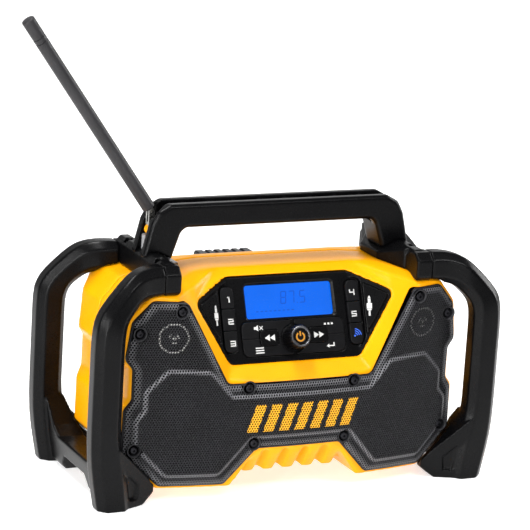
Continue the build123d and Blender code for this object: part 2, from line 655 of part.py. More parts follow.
def socket_block(frame, width, height, depth):
    """A box square to a wing, centred on its port and reaching down from the pocket's floor."""
    across, up = frame.x_dir, frame.z_dir.cross(frame.x_dir)
    top = frame.origin - frame.z_dir * POCKET_FLOOR
    corners = [top + across * (a * width / 2) + up * (b * height / 2)
               for a, b in ((-1, -1), (1, -1), (1, 1), (-1, 1))]
    return Solid.extrude(Face(Wire.make_polygon(corners, close=True)), -frame.z_dir * depth)


def display_outline():
    x, up = DISPLAY_W / 2, DISPLAY_H / 2
    return rounded(rectangle((-x, x), (DISPLAY_UP - up, DISPLAY_UP + up)), DISPLAY_CORNER_R)


def cover_outline():
    return rounded(COVER_OUTLINE, COVER_CORNER_R)


def preset_block(side, up, gap, low, high):
    """One preset key's space: a stretch of the column, whose ends are rounded."""
    x = sorted((side * (PRESET_X - PRESET_W / 2 - gap), side * (PRESET_X + PRESET_W / 2 + gap)))
    column = rectangle(x, (PRESET_UP[2] - PRESET_H / 2 - gap, PRESET_UP[0] + PRESET_H / 2 + gap))
    piece = panel_block(x, (up - PRESET_H / 2 - gap, up + PRESET_H / 2 + gap), (low, high))
    return piece & panel_slab(rounded(column, PRESET_END_R), (low, high))


def pad_half(side, gap, low, high):
    """One half of the key field beside the knob."""
    whole = rectangle((-PAD_HALF_W - gap, PAD_HALF_W + gap), (PAD_UP[0] - gap, PAD_UP[1] + gap))
    x = sorted((side * 2.0, side * (PAD_HALF_W + gap)))
    field = panel_slab(rounded(whole, PAD_CORNER_R), (low, high))
    field &= panel_block(x, (PAD_UP[0] - gap, PAD_UP[1] + gap), (low, high))
    return field - panel_rod(0, KNOB_UP, (low - 1, high + 1), KNOB_R + 2.2 - gap)


def seek_block(side, gap, low, high):
    x = sorted((side * (SEEK_X - SEEK_W / 2 - gap), side * (SEEK_X + SEEK_W / 2 + gap)))
    outline = rectangle(x, (PAD_SPLIT - SEEK_H / 2 - gap, PAD_SPLIT + SEEK_H / 2 + gap))
    return panel_slab(rounded(outline, SEEK_CORNER_R), (low, high))


def stem(x, up, reach=-PANEL_T):
    """The post under a key that reaches for its dome on the board."""
    return panel_rod(x, up, (-BOARD_SINK + DOME_H + KEY_TRAVEL + 0.3, reach + 0.5), STEM_R)


def preset_key(side, up):
    return preset_block(side, up, 0.0, -PANEL_T, KEY_PROUD) + stem(side * PRESET_X, up)


def corner_key(side, top):
    """One of the four keys in the corners of the key field."""
    ups = (PAD_SPLIT + RUN / 2, PAD_UP[1]) if top else (PAD_UP[0], PAD_SPLIT - RUN / 2)
    band = panel_block((-PAD_HALF_W, PAD_HALF_W), ups, (-PANEL_T, CORNER_PROUD))
    cap = (pad_half(side, 0.0, -PANEL_T, CORNER_PROUD) & band) - seek_block(side, RUN, -12, 12)
    return cap + stem(side * CORNER_STEM[0], CORNER_STEM[1] if top else CORNER_STEM[2])


def seek_key(side):
    return seek_block(side, 0.0, -PANEL_T, SEEK_PROUD) + stem(side * SEEK_X, PAD_SPLIT)


CORNER_PROUD, SEEK_PROUD = 1.0, 2.0
CORNER_STEM = (44.0, 31.5, 13.5)


def volume_ring():
    """Scalloped knob ring that turns on the encoder's bush."""
    body = panel_rod(0, KNOB_UP, (RING_LIFT, 5.0), KNOB_R)
    start = on_panel(0, KNOB_UP, 5.0)
    body += tapered(tuple(start), tuple(NORMAL), KNOB_R, KNOB_FACE_R, KNOB_H - 5.0)
    for k in range(KNOB_LOBES):
        angle = math.radians(360.0 * (k + 0.5) / KNOB_LOBES)
        x, up = (KNOB_R + 1.5) * math.cos(angle), (KNOB_R + 1.5) * math.sin(angle)
        body -= panel_rod(x, KNOB_UP + up, (4.0, KNOB_H + 1.0), 2.4)
    body -= panel_rod(0, KNOB_UP, (-1.0, KNOB_H), SHAFT_OUTER_R + PIN_GAP)
    body -= panel_rod(0, KNOB_UP, (7.0, KNOB_H + 1.0), KNOB_BORE_R)
    return body


RING_LIFT = 0.5


def power_button():
    cap = panel_rod(0, KNOB_UP, (9.0, KNOB_H - 1.2), POWER_R)
    cap -= panel_rod(0, KNOB_UP, (KNOB_H - 1.7, KNOB_H), POWER_R - 0.9)
    return cap + panel_rod(0, KNOB_UP, (-BOARD_SINK + POWER_TRAVEL + 0.6, 9.5), STEM_R)


def rotary_encoder():
    base = panel_block((-7, 7), (KNOB_UP - 7, KNOB_UP + 7), (-BOARD_SINK, -5.0))
    bush = panel_rod(0, KNOB_UP, (-5.5, 6.5), SHAFT_OUTER_R)
    return base + bush - panel_rod(0, KNOB_UP, (-BOARD_SINK - 1, 8.0), STEM_R + RUN)


def control_board():
    """Printed board square to the panel's middle flat, with a dome under each key."""
    board = panel_block((-73.5, 73.5), (3.0, 77.0), (-BOARD_SINK - BOARD_T, -BOARD_SINK))
    domes = [(side * PRESET_X, up) for side in (1, -1) for up in PRESET_UP]
    domes += [(side * CORNER_STEM[0], up) for side in (1, -1) for up in CORNER_STEM[1:]]
    domes += [(side * SEEK_X, PAD_SPLIT) for side in (1, -1)]
    for x, up in domes:
        board += panel_rod(x, up, (-BOARD_SINK - 0.2, -BOARD_SINK + DOME_H), 2.6)
    for x in (-50.0, 50.0):
        board += panel_rod(x, 44.5, (-BOARD_SINK - 0.2, -PANEL_T - SEAT), 2.0)
    return board


def display_window():
    half_w, half_h = DISPLAY_W / 2 + 2.0, DISPLAY_H / 2 + 2.0
    top = -PANEL_T - SEAT
    return panel_block((-half_w, half_w), (DISPLAY_UP - half_h, DISPLAY_UP + half_h), (top - WINDOW_T, top))


def display_module():
    half_w, half_h = DISPLAY_W / 2 + 2.0, DISPLAY_H / 2 + 2.0
    top = -PANEL_T - 2 * SEAT - WINDOW_T
    return panel_block((-half_w, half_w), (DISPLAY_UP - half_h, DISPLAY_UP + half_h), (-BOARD_SINK, top))


def port_cover(side):
    """Triangular cover with its knuckle along the inner edge."""
    out = wing_frame(side).z_dir
    place = lambda x, z, height: Vector(side * x, wing_y(x, z), z) + out * height
    cover = chamfered(cover_outline(), COVER_PROUD - COVER_T, COVER_PROUD, COVER_CUT, place)
    start, along, length = knuckle_line(side)
    return cover + rod(tuple(start), tuple(along), KNUCKLE_R, length)


def aux_socket():
    frame = wing_frame(1)
    top = frame.origin - frame.z_dir * POCKET_FLOOR
    body = rod(tuple(top), tuple(-frame.z_dir), AUX_BODY_R, AUX_DEPTH + 2.5)
    return body - rod(tuple(top + frame.z_dir), tuple(-frame.z_dir), AUX_R, AUX_DEPTH + 1.0)


def charge_socket():
    frame = wing_frame(-1)
    shell = socket_block(frame, CHARGE_W + 2 * SOCKET_WALL, CHARGE_H + 2 * SOCKET_WALL, 16.0)
    shell -= socket_block(frame, CHARGE_W, CHARGE_H, 13.5)
    tongue = socket_block(frame, CHARGE_W - 1.6, 1.9, 15.0)
    lift = -frame.z_dir.cross(frame.x_dir) * 1.0 - frame.z_dir * 1.5
    return shell + tongue.moved(Location(tuple(lift)))


# ---------------------------------------------------------------- speakers
def woofer_frame(side):
    """Flange, basket and magnet of one woofer, square to the curved front."""
    x = side * WOOFER_X
    sag = WOOFER_FLANGE_R ** 2 / (2 * (FRONT_R - WALL))
    face = WALL + sag + SEAT
    into = tuple(inward(x))
    at = lambda depth: tuple(at_front(x, WOOFER_Z, face + depth))
    body = rod(at(0), into, WOOFER_FLANGE_R, 3.0)
    body += tapered(at(2.9), into, WOOFER_FLANGE_R - 2.0, MAGNET_R + 2.0, WOOFER_DEPTH - MAGNET_H - 2.9)
    body += rod(at(WOOFER_DEPTH - MAGNET_H), into, MAGNET_R, MAGNET_H)
    body -= rod(at(-1), into, SURROUND_R + SEAT, 5.0)
    body -= tapered(at(3.9), into, SURROUND_R, CONE_NECK_R + 5.0, 22.0)
    body -= rod(at(20), into, CONE_NECK_R + 3.0, 8.0)
    return body


SURROUND_R = 36.5


def woofer_surround(side):
    """Half-roll rubber ring between frame and cone."""
    x = side * WOOFER_X
    face = WALL + WOOFER_FLANGE_R ** 2 / (2 * (FRONT_R - WALL)) + SEAT
    into = tuple(inward(x))
    at = lambda depth: tuple(at_front(x, WOOFER_Z, face + depth))
    ring = rod(at(2.6), into, SURROUND_R, 1.2) + rod(at(1.2), into, SURROUND_R - 1.2, 2.0)
    ring -= rod(at(2.2), into, SURROUND_R - 2.2, 3.0) - rod(at(2.0), into, CONE_R + 1.6, 4.0)
    return ring - rod(at(0), into, CONE_R + RUN, 6.0)


def woofer_cone(side):
    """Cone, dust cap and coil former, which move together."""
    x = side * WOOFER_X
    face = WALL + WOOFER_FLANGE_R ** 2 / (2 * (FRONT_R - WALL)) + SEAT
    into = tuple(inward(x))
    at = lambda depth: tuple(at_front(x, WOOFER_Z, face + depth))
    cone = tapered(at(2.6), into, CONE_R, CONE_NECK_R, CONE_DEPTH)
    cone -= tapered(at(2.6 - CONE_T * 1.2), into, CONE_R, CONE_NECK_R, CONE_DEPTH)
    cone += rod(at(CONE_DEPTH - 1.0), into, CONE_NECK_R + 2.2, 1.4)
    cone += rod(at(CONE_DEPTH), into, CONE_NECK_R, 9.0)
    return cone - rod(at(CONE_DEPTH + 3.0), into, CONE_NECK_R - 1.2, 12.0)


def tweeter(side):
    x = side * TWEETER_X
    face = WALL + TWEETER_R ** 2 / (2 * (FRONT_R - WALL)) + SEAT
    into = tuple(inward(x))
    at = lambda depth: tuple(at_front(x, TWEETER_Z, face + depth))
    body = rod(at(0), into, TWEETER_R, 2.4) + rod(at(2.0), into, TWEETER_R - 3.0, TWEETER_DEPTH)
    dome = Solid.make_sphere(9.5).moved(Location(at(8.0))) & rod(at(-3.0), into, 8.0, 8.0)
    return body - rod(at(-1.0), into, 11.0, 2.4) + dome


# ---------------------------------------------------------------- electrics
def main_board():
    board = block((-50, 50), (BOARD_Y, BOARD_Y + BOARD_T), (58, 150))
    chips = ((-26, 118, 26, 22, 6), (22, 122, 18, 18, 3), (10, 84, 30, 14, 9), (-30, 82, 14, 14, 12))
    for x, z, w, h, d in chips:
        board += block((x - w / 2, x + w / 2), (BOARD_Y - d, BOARD_Y + 0.5), (z - h / 2, z + h / 2))
    return board


def power_supply():
    floor = BELLY_Z + WALL + SEAT
    core = block((72, 124), (10, 50), (floor, floor + 8))
    core += block((78, 118), (14, 46), (floor + 7, floor + 44))
    return core + block((84, 112), (10, 50), (floor + 14, floor + 36))


def battery_terminals():
    base = block((-21, 21), (BAY_Y + SEAT, BAY_Y + 9), (BAY_Z[0] + 12, BAY_Z[0] + 44))
    for x in (-14, -5, 5, 14):
        base += block((x - 0.6, x + 0.6), (BAY_Y + 8, BAY_Y + 20), (BAY_Z[0] + 18, BAY_Z[0] + 38))
    return base


# ---------------------------------------------------------------- battery door
def battery_door():
    x, (low, high) = DOOR_X, DOOR_Z
    back, face = REAR_Y + 0.4, HINGE_Y
    door = block((-x, x), (back, face), (low, high))
    door -= block((-x + 4, x - 4), (back - 1, back + 2.4), (low + 4, high - 4))
    for k in range(DOOR_RIBS):
        rib = (k - (DOOR_RIBS - 1) / 2) * DOOR_RIB_PITCH
        door += block((rib - 2.5, rib + 2.5), (face - 0.5, face + 1.8), (low + 12, high - 22))
    for start, stop in KNUCKLES:
        door += rod((start, HINGE_Y, HINGE_Z), (1, 0, 0), HINGE_R, stop - start)
        door += block((start, stop), (HINGE_Y - 4, HINGE_Y), (HINGE_Z, low + 1))
        door -= rod((start - 1, HINGE_Y, HINGE_Z), (1, 0, 0), HINGE_PIN_R + PIN_GAP, stop - start + 2)
    for side in (1, -1):
        lug = sorted((side * (LATCH_X + RUN), side * (LATCH_X + 4)))
        door += prism([(face - 1, LATCH_PIVOT[1] - 5), (LATCH_PIVOT[0], LATCH_PIVOT[1] - 3),
                       (LATCH_PIVOT[0] + 2.6, LATCH_PIVOT[1]), (LATCH_PIVOT[0], LATCH_PIVOT[1] + 3),
                       (face - 1, LATCH_PIVOT[1] + 3)], "x", *lug)
    return door - rod((-LATCH_X - 5, *LATCH_PIVOT), (1, 0, 0), LATCH_PIN_R + PIN_GAP, 2 * LATCH_X + 10)


LATCH_PIVOT = (HINGE_Y + 4.0, DOOR_Z[1] - 6.0)  # Y and Z
LATCH_LIP_Y = REAR_Y - 3.0
LATCH_GROOVES = 6


def door_latch():
    """Ribbed thumb latch: a lip lies over the housing's rear edge and lifts clear as it tips back."""
    face = HINGE_Y + RUN
    low, high = LATCH_PIVOT[1] - 5.0, LATCH_TOP
    lip = high - 3.4
    profile = [(face, LATCH_PIVOT[1]), (LATCH_PIVOT[0] - 1.3, low), (face + 6.0, low),
               (face + LATCH_DEPTH, low + 8), (face + LATCH_DEPTH, high - 3),
               (face + LATCH_DEPTH - 3, high), (LATCH_LIP_Y, high), (LATCH_LIP_Y, lip + 0.8), (face, lip)]
    latch = prism(profile, "x", -LATCH_X, LATCH_X)
    pitch = 2 * LATCH_X / LATCH_GROOVES
    for k in range(LATCH_GROOVES - 1):
        x = (k + 1) * pitch - LATCH_X
        latch -= block((x - pitch * 0.2, x + pitch * 0.2), (face + LATCH_DEPTH - 2, BIG), (low, high + 1))
        latch -= block((x - pitch * 0.2, x + pitch * 0.2), (LATCH_LIP_Y + 2, BIG), (high - 1.6, high + 1))
    return latch - rod((-LATCH_X - 1, *LATCH_PIVOT), (1, 0, 0), LATCH_PIN_R + PIN_GAP, 2 * LATCH_X + 2)


def hinge_pin():
    reach = EARS[-1][1] - 1.0
    return aside(rod((-reach, HINGE_Y, HINGE_Z), (1, 0, 0), HINGE_PIN_R, 2 * reach))


def latch_pin():
    reach = LATCH_X + 3.6
    return aside(rod((-reach, *LATCH_PIVOT), (1, 0, 0), LATCH_PIN_R, 2 * reach))


def door_seal():
    """Rubber frame in the door's rim pocket."""
    x, (low, high) = DOOR_X - 4.0 - SEAT, (DOOR_Z[0] + 4.0 + SEAT, DOOR_Z[1] - 4.0 - SEAT)
    ring = block((-x, x), (REAR_Y + SEAT, REAR_Y + 2.8 - SEAT), (low, high))
    return ring - block((-x + 4, x - 4), (REAR_Y - 1, REAR_Y + 5), (low + 4, high - 4))


# ---------------------------------------------------------------- cages, brackets, handle
def section(outer, inner, y, half_y, cut):
    """An eight-sided ring between an outer and an inner point of the hoop's side view, in X and Z."""
    centre = Vector((outer[0] + inner[0]) / 2, y, (outer[1] + inner[1]) / 2)
    reach = Vector(outer[0] - inner[0], 0, outer[1] - inner[1])
    half, u, v = reach.length / 2, reach.normalized(), Vector(0, 1, 0)
    pairs = [(half, half_y - cut), (half - cut, half_y), (cut - half, half_y), (-half, half_y - cut),
             (-half, cut - half_y), (cut - half, -half_y), (half - cut, -half_y), (half, cut - half_y)]
    return Wire.make_polygon([centre + u * a + v * b for a, b in pairs], close=True)


HOOP = [  # outer point, inner point, distance from the middle plane
    ((SEAM_X + SEAT, SEAM_Z + TUBE_H / 2), (SEAM_X + SEAT, SEAM_Z - TUBE_H / 2), SEAM_Y),
    ((152.0, SEAM_Z + TUBE_H / 2 + 0.4), (152.0, SEAM_Z - TUBE_H / 2 + 0.6), SEAM_Y + 3.0),
    ((167.0, 220.5), (161.5, 191.5), SEAM_Y + 8.5),
    ((179.0, 213.0), (168.5, 186.0), SEAM_Y + 13.0),
    ((198.5, 193.0), (177.0, 176.5), POST_Y - 2.5),
    ((206.0, 181.5), (179.3, 167.5), POST_Y - 0.6),
    ((POST_X + POST_HALF_X, 165.0), (POST_X - POST_HALF_X, 157.0), POST_Y),
    ((POST_X + POST_HALF_X, 66.0), (POST_X - POST_HALF_X, 66.0), POST_Y),
    ((207.0, 38.0), (174.0, 44.0), POST_Y),
    ((FOOT_X[1], 0.0), (168.0, 0.0), POST_Y - 0.8),
]
FOOT_FRONT = [(FOOT_X[0], 0.0), (190.0, 0.0), (194.0, 50.0), (182.0, 60.0), (140.0, 18.0), (140.0, 10.0)]
FOOT_FACE_Y = -POST_Y - POST_HALF_Y + 0.6
FOOT_PLAN = [(140.0, -62.0), (140.0, -72.0), (183.0, FOOT_FACE_Y), (195.0, FOOT_FACE_Y), (195.0, -62.0)]
FOOT_POCKET = [(160.0, 8.0), (176.5, 8.0), (179.5, 27.0), (176.3, 38.0), (159.0, 21.0)]
POCKET_DEPTH = 3.0
HOOP_SOFTNESS = (14.0, 6.0)
RAIL_SIDE = [(-77.0, 0.0), (-38.0, 0.0), (-26.0, RAIL_Z[0]), (26.0, RAIL_Z[0]), (38.0, 0.0), (77.0, 0.0),
             (77.0, 66.0), (64.0, 66.0), (50.0, 41.0), (37.0, RAIL_Z[1]), (-37.0, RAIL_Z[1]), (-50.0, 41.0),
             (-64.0, 66.0), (-77.0, 66.0)]


def foot():
    """Front right foot: spreads inwards under the housing's corner, with a pocket in its slanted face."""
    form = prism(FOOT_FRONT, "y", -120.0, -40.0) & prism(FOOT_PLAN, "z", -1.0, 70.0)
    near, far = [Vector(x, y, 0) for x, y in FOOT_PLAN[1:3]]
    along = (far - near).normalized()
    out = Vector(along.Y, -along.X, 0)
    corners = [near + along * ((x - near.X) / along.X) + Vector(0, 0, z) + out for x, z in FOOT_POCKET]
    return form - Solid.extrude(Face(Wire.make_polygon(corners, close=True)), -out * (POCKET_DEPTH + 1.0))


def seam_z(end):
    """Height of the seam between bracket and hoop, at the front (-1) or the rear (1)."""
    return SEAM_Z - REAR_DROP if end > 0 else SEAM_Z


def hoop(end):
    """The front or rear hoop on the right side, down to its foot."""
    rings = []
    for outer, inner, y in HOOP:
        lower = SEAM_Z - seam_z(end) if outer[1] > 170 else 0.0
        half_y = TUBE_W / 2 if outer[0] < 170 else POST_HALF_Y
        rings.append((outer[0], outer[1] - lower, inner[0], inner[1] - lower, end * y, half_y))
    for reach in HOOP_SOFTNESS:
        rings = softened(rings, reach)
    wires = [section((ox, oz), (ix, iz), y, half_y, TUBE_CUT) for ox, oz, ix, iz, y, half_y in rings]
    return Solid.make_loft(wires, ruled=True)


def softened(rings, reach):
    """Each inner ring of a row becomes two, a little before and after it, so that it bends in steps."""
    row = [rings[0]]
    for before, here, after in zip(rings, rings[1:], rings[2:]):
        for other in (before, after):
            span = math.dist(here[:5], other[:5])
            share = min(reach / span, 0.25)
            row.append(tuple(h + (o - h) * share for h, o in zip(here, other)))
    return row + [rings[-1]]


def cage(side):
    """One side's guard: two hoops with feet, joined by the lower rail, with a tab under the housing."""
    frame = hoop(-1) + foot() + hoop(1) + mirror(foot(), about=Plane.XZ)
    section_xz = [(RAIL_X[0], 2.0), (RAIL_X[0] + 3, 0.0), (RAIL_X[1] - 5, 0.0), (RAIL_X[1], 6.0),
                  (RAIL_X[1] + 4, RAIL_Z[1] - 5), (POST_X + 4, 66.0), (POST_X - POST_HALF_X, 66.0),
                  (RAIL_X[0] + 2, RAIL_Z[1] + 2)]
    frame += prism(RAIL_SIDE, "x", 140.0, 220.0) & prism(section_xz, "y", -77.0, 77.0)
    for end in (1, -1):
        frame -= rod((SEAM_X - 1, end * SEAM_Y, seam_z(end)), (1, 0, 0), SPIGOT_R + PIN_GAP, SPIGOT_L + 2)
    frame = frame.moved(Location((0, MID_Y, 0)))
    frame -= housing_form(-CAGE_CLEAR)
    around = prism(grown(mirrored(GRILLE_OUTLINE), CAGE_CLEAR), "y", -120.0, -60.0)
    frame -= around & arc_space(GRILLE_FRONT_Y - CAGE_CLEAR)
    tab = prism([(149.0, 18.0), (157.0, 14.0), (RAIL_X[0] + 2, RAIL_Z[0]), (RAIL_X[0] + 2, RAIL_Z[1]),
                 (164.0, 42.0), (146.0, 24.0)], "y", MID_Y - TAB_HALF_Y, MID_Y + TAB_HALF_Y)
    frame += tab - housing_form(-SEAT)
    for seat, axis in cage_screw_places():
        if seat[0] > 0:
            frame -= screw_hole(seat, axis, 16.0, recess=8.0)
    return frame if side > 0 else mirror(frame, about=Plane.YZ)


SPIGOT_R, SPIGOT_L = 7.5, 9.0


def bracket_blank(gap):
    """The bracket's body before its holes, grown by a gap."""
    profile = [(96.0, 188.0), (SEAM_X, 188.0)] + BRACKET_TOP + [(96.0, 210.0)]
    body = prism(grown(profile, gap), "y", -80.0, 80.0) & prism(grown(BRACKET_PLAN, gap), "z", 150.0, 250.0)
    outer = [(124.0, 192.0), (SEAM_X, 192.0)] + BRACKET_TOP[:3] + [(124.0, 223.5)]
    body += prism(grown(outer, gap), "y", -SEAM_Y, SEAM_Y)
    return body.moved(Location((0, MID_Y, 0)))


def bracket(side):
    """Saddle on the shoulder, with a stub and a spigot at each end for the hoops."""
    body = bracket_blank(0.0)
    for end, start in ((-1, STUB_X[0]), (1, STUB_X[1])):
        y, z = MID_Y + end * SEAM_Y, seam_z(end)
        high, low = z + TUBE_H / 2, z - TUBE_H / 2
        rings = [section((x, high - drop), (x, low + drop), y, TUBE_W / 2 - drop, TUBE_CUT)
                 for x, drop in ((start, 1.2), (start + 1.5, 0.0), (SEAM_X, 0.0))]
        body += Solid.make_loft(rings, ruled=True)
        body += rod((SEAM_X - 1, y, z), (1, 0, 0), SPIGOT_R, SPIGOT_L + 1)
    body -= housing_form(-SEAT)
    around = prism(grown(mirrored(GRILLE_OUTLINE), SEAT), "y", -120.0, -60.0)
    body -= around & arc_space(GRILLE_FRONT_Y - SEAT)
    for x, y in bracket_screw_places():
        if x > 0:
            body -= screw_hole((x, y, BRACKET_SEAT_Z), (0, 0, -1), 40.0, recess=20.0)
    for x, y in handle_screw_places():
        if x > 0:
            body -= screw_hole((x, y, HANDLE_SEAT_Z), (0, 0, 1), 26.0, recess=20.0)
    return body if side > 0 else mirror(body, about=Plane.YZ)


BRACKET_SEAT_Z = 217.5
HANDLE_SEAT_Z = 212.0


def handle_screw_places():
    middle = (CHEEK_Y[0] + CHEEK_Y[1]) / 2
    return [(side * 122.0, MID_Y + end * middle) for side in (1, -1) for end in (1, -1)]


def carry_handle():
    """Two U-shaped cheeks joined by the trough's floor, its ladder ribs and a web up each leg."""
    leg = HANDLE_INNER + [(113.6, 200.0)] + HANDLE_OUTER
    outline = rounded(mirrored([(0.0, HANDLE_UNDER)] + leg + [(0.0, HANDLE_TOP)]), HANDLE_CORNER_R)
    low, high = CHEEK_Y
    body = chamfered(outline, low, high, HANDLE_CUT, lambda x, z, y: Vector(x, y, z))
    body += chamfered(outline, low, high, HANDLE_CUT, lambda x, z, y: Vector(x, -y, z))
    body += block((-112.0, 112.0), (-low - 1, low + 1), (HANDLE_UNDER, HANDLE_UNDER + TROUGH_FLOOR))
    for k in range(LADDER_RIBS):
        x = (k - (LADDER_RIBS - 1) / 2) * LADDER_PITCH
        rib = (x - LADDER_T / 2, x + LADDER_T / 2)
        body += block(rib, (-low - 1, low + 1), (HANDLE_UNDER + 1, LADDER_Z))
    inner = HANDLE_INNER[1:] + [(113.6, 200.0)]
    web = inner + [(x + LEG_WEB_T + 1, z) for x, z in reversed(inner)]
    body += both_sides(prism(web, "y", -low - 1, low + 1))
    body = body.moved(Location((0, MID_Y, 0))) - both_sides(bracket_blank(SEAT)) - housing_form(-SEAT)
    for x, y in handle_screw_places():
        body -= rod((x, y, HANDLE_SEAT_Z), (0, 0, 1), SCREW_R + PIN_GAP, 27.0)
    return body - rod((SWIVEL_X, MID_Y, MAST_RELIEF_Z), (0, 0, 1), MAST_RELIEF_R, 30.0)


# ---------------------------------------------------------------- antenna
LEAN = Vector(-math.sin(math.radians(MAST_LEAN)), 0, math.cos(math.radians(MAST_LEAN)))
BASE_TOP = BALL_Z - BALL_R - RUN
SPIGOT_PIN_R = 3.0
FORK_FLOOR = 7.0  # from the ball's centre up to the slot between the fork's cheeks


def along_mast(distance):
    return tuple(Vector(SWIVEL_X, MID_Y, TILT_Z) + LEAN * distance)


def pin_bore(radius):
    return rod((SWIVEL_X, MID_Y - 10.0, TILT_Z), (0, 1, 0), radius, 20.0)


def antenna_base():
    floor = BRACKET_TOP[1][1]
    base = rod((SWIVEL_X, MID_Y, floor + SEAT), (0, 0, 1), BASE_R, BASE_TOP - floor - SEAT)
    return base - rod((SWIVEL_X, MID_Y, floor + 2), (0, 0, 1), SPIGOT_PIN_R + PIN_GAP, 20.0)


def fork_blank(gap):
    """The fork between ball and tilt pin, with a rounded top."""
    half_w, half_t = FORK_R + gap, FORK_T / 2 + gap
    x, y = (SWIVEL_X - half_w, SWIVEL_X + half_w), (MID_Y - half_t, MID_Y + half_t)
    top = rod((SWIVEL_X, y[0], TILT_Z), (0, 1, 0), half_w, 2 * half_t)
    return block(x, y, (BALL_Z + 1.0 - gap, TILT_Z)) + top


def antenna_ball():
    floor = BRACKET_TOP[1][1]
    ball = Solid.make_sphere(BALL_R).moved(Location((SWIVEL_X, MID_Y, BALL_Z)))
    ball += rod((SWIVEL_X, MID_Y, floor + 2.3), (0, 0, 1), SPIGOT_PIN_R, BALL_Z - floor - 4)
    return ball - fork_blank(PIN_GAP)


def antenna_tongue():
    """Bright fork that carries the tilt pin."""
    half_t = TANG_T / 2 + RUN / 2
    x, y = (SWIVEL_X - 9, SWIVEL_X + 9), (MID_Y - half_t, MID_Y + half_t)
    slot = block(x, y, (BALL_Z + FORK_FLOOR, TILT_Z + 9))
    return fork_blank(0.0) - slot - pin_bore(TILT_PIN_R + PIN_GAP)


def antenna_pin():
    return rod((SWIVEL_X, MID_Y - FORK_T / 2 - 0.6, TILT_Z), (0, 1, 0), TILT_PIN_R, FORK_T + 1.2)


def mast_ferrule():
    """Metal end of the mast: a flat tang in the fork and a spigot inside the rubber."""
    tang = block((-FORK_R + 0.2, FORK_R - 0.2), (-TANG_T / 2, TANG_T / 2), (0.0, MAST_START + 2.0))
    tang += rod((0, -TANG_T / 2, 0), (0, 1, 0), FORK_R - 0.2, TANG_T)
    tang += rod((0, 0, MAST_START + SEAT), (0, 0, 1), SPIGOT_PIN_R, 16.0)
    tang = tang.moved(Location((SWIVEL_X, MID_Y, TILT_Z), (0, -MAST_LEAN, 0)))
    return tang - pin_bore(TILT_PIN_R + PIN_GAP)


def antenna_mast():
    """Rubber-covered mast with two grooves under the tip."""
    mast = rod(along_mast(MAST_START), tuple(LEAN), MAST_R, MAST_L - MAST_START)
    for along in (MAST_L - MAST_TIP_L, MAST_L - MAST_TIP_L - 5.0):
        ring = rod(along_mast(along), tuple(LEAN), MAST_R + 1, 1.0)
        mast -= ring - rod(along_mast(along - 1), tuple(LEAN), MAST_R - MAST_GROOVE, 3.0)
    return mast - rod(along_mast(MAST_START - 1.0), tuple(LEAN), SPIGOT_PIN_R + PIN_GAP, 18.0)


# ---------------------------------------------------------------- every piece
def joined(shapes):
    return Compound([solid for shape in shapes for solid in shape.solids()])


SIDES = {"left": -1, "right": 1}


def screw_sets():
    grille = (screw((x, grille_screw_seat(x), z), (0, 1, 0), 9.0) for x, z in grille_screw_places())
    brackets = (screw((x, y, BRACKET_SEAT_Z), (0, 0, -1), 30.0) for x, y in bracket_screw_places())
    handle = (screw((x, y, HANDLE_SEAT_Z), (0, 0, 1), 24.0) for x, y in handle_screw_places())
    cages = (screw(seat, axis, 14.0) for seat, axis in cage_screw_places())
    halves = (screw((x, HOUSING_SEAT_Y, z), (0, -1, 0), 50.0) for x, z in housing_screw_places())
    sets = {"grille": grille, "bracket": brackets, "handle": handle, "cage": cages, "housing": halves}
    return {f"{name}_screws": joined(screws) for name, screws in sets.items()}


def build():
    parts = {
        "front_housing": front_housing(),
        "rear_housing": rear_housing(),
        "speaker_grille": speaker_grille(),
        "control_fascia": control_fascia(),
        "display_window": display_window(),
        "display_module": display_module(),
        "control_board": control_board(),
        "rotary_encoder": rotary_encoder(),
        "volume_ring": volume_ring(),
        "power_button": power_button(),
        "mute_key": corner_key(-1, True),
        "mode_key": corner_key(1, True),
        "menu_key": corner_key(-1, False),
        "enter_key": corner_key(1, False),
        "rewind_key": seek_key(-1),
        "forward_key": seek_key(1),
        "charge_port_cover": port_cover(-1),
        "aux_port_cover": port_cover(1),
        "charge_socket": charge_socket(),
        "aux_socket": aux_socket(),
        "main_board": aside(main_board()),
        "power_supply": power_supply(),
        "battery_terminals": aside(battery_terminals()),
        "battery_door": aside(battery_door()),
        "door_hinge_pin": hinge_pin(),
        "door_latch": aside(door_latch()),
        "latch_pin": latch_pin(),
        "door_seal": aside(door_seal()),
        "carry_handle": carry_handle(),
        "antenna_base": antenna_base(),
        "antenna_ball": antenna_ball(),
        "antenna_tongue": antenna_tongue(),
        "antenna_pin": antenna_pin(),
        "mast_ferrule": mast_ferrule(),
        "antenna_mast": antenna_mast(),
    }
    for k, (side, up) in enumerate([(-1, up) for up in PRESET_UP] + [(1, up) for up in PRESET_UP]):
        parts[f"preset_key_{k + 1}"] = preset_key(side, up)
    for name, side in SIDES.items():
        parts[f"{name}_woofer_frame"] = woofer_frame(side)
        parts[f"{name}_woofer_surround"] = woofer_surround(side)
        parts[f"{name}_woofer_cone"] = woofer_cone(side)
        parts[f"{name}_tweeter"] = tweeter(side)
        parts[f"{name}_bracket"] = bracket(side)
        parts[f"{name}_cage"] = cage(side)
    parts.update(screw_sets())
    return parts


def main():
    parts = build()
    boxes = [shape.bounding_box() for shape in parts.values()]
    low = [min(tuple(box.min)[k] for box in boxes) for k in range(3)]
    high = [max(tuple(box.max)[k] for box in boxes) for k in range(3)]
    shift = (-(low[0] + high[0]) / 2, -(low[1] + high[1]) / 2, -low[2])
    size = [round(b - a, 3) for a, b in zip(low, high)]
    print("moved by", [round(value, 4) for value in shift], "size", size)
    os.makedirs("parts", exist_ok=True)
    for name, shape in parts.items():
        export_step(shape.moved(Location(shift)), f"parts/{name}.step")


main()
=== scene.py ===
"""Jobsite radio: every visible piece, finished around the CAD frame, with its stage and camera."""

import json
import math

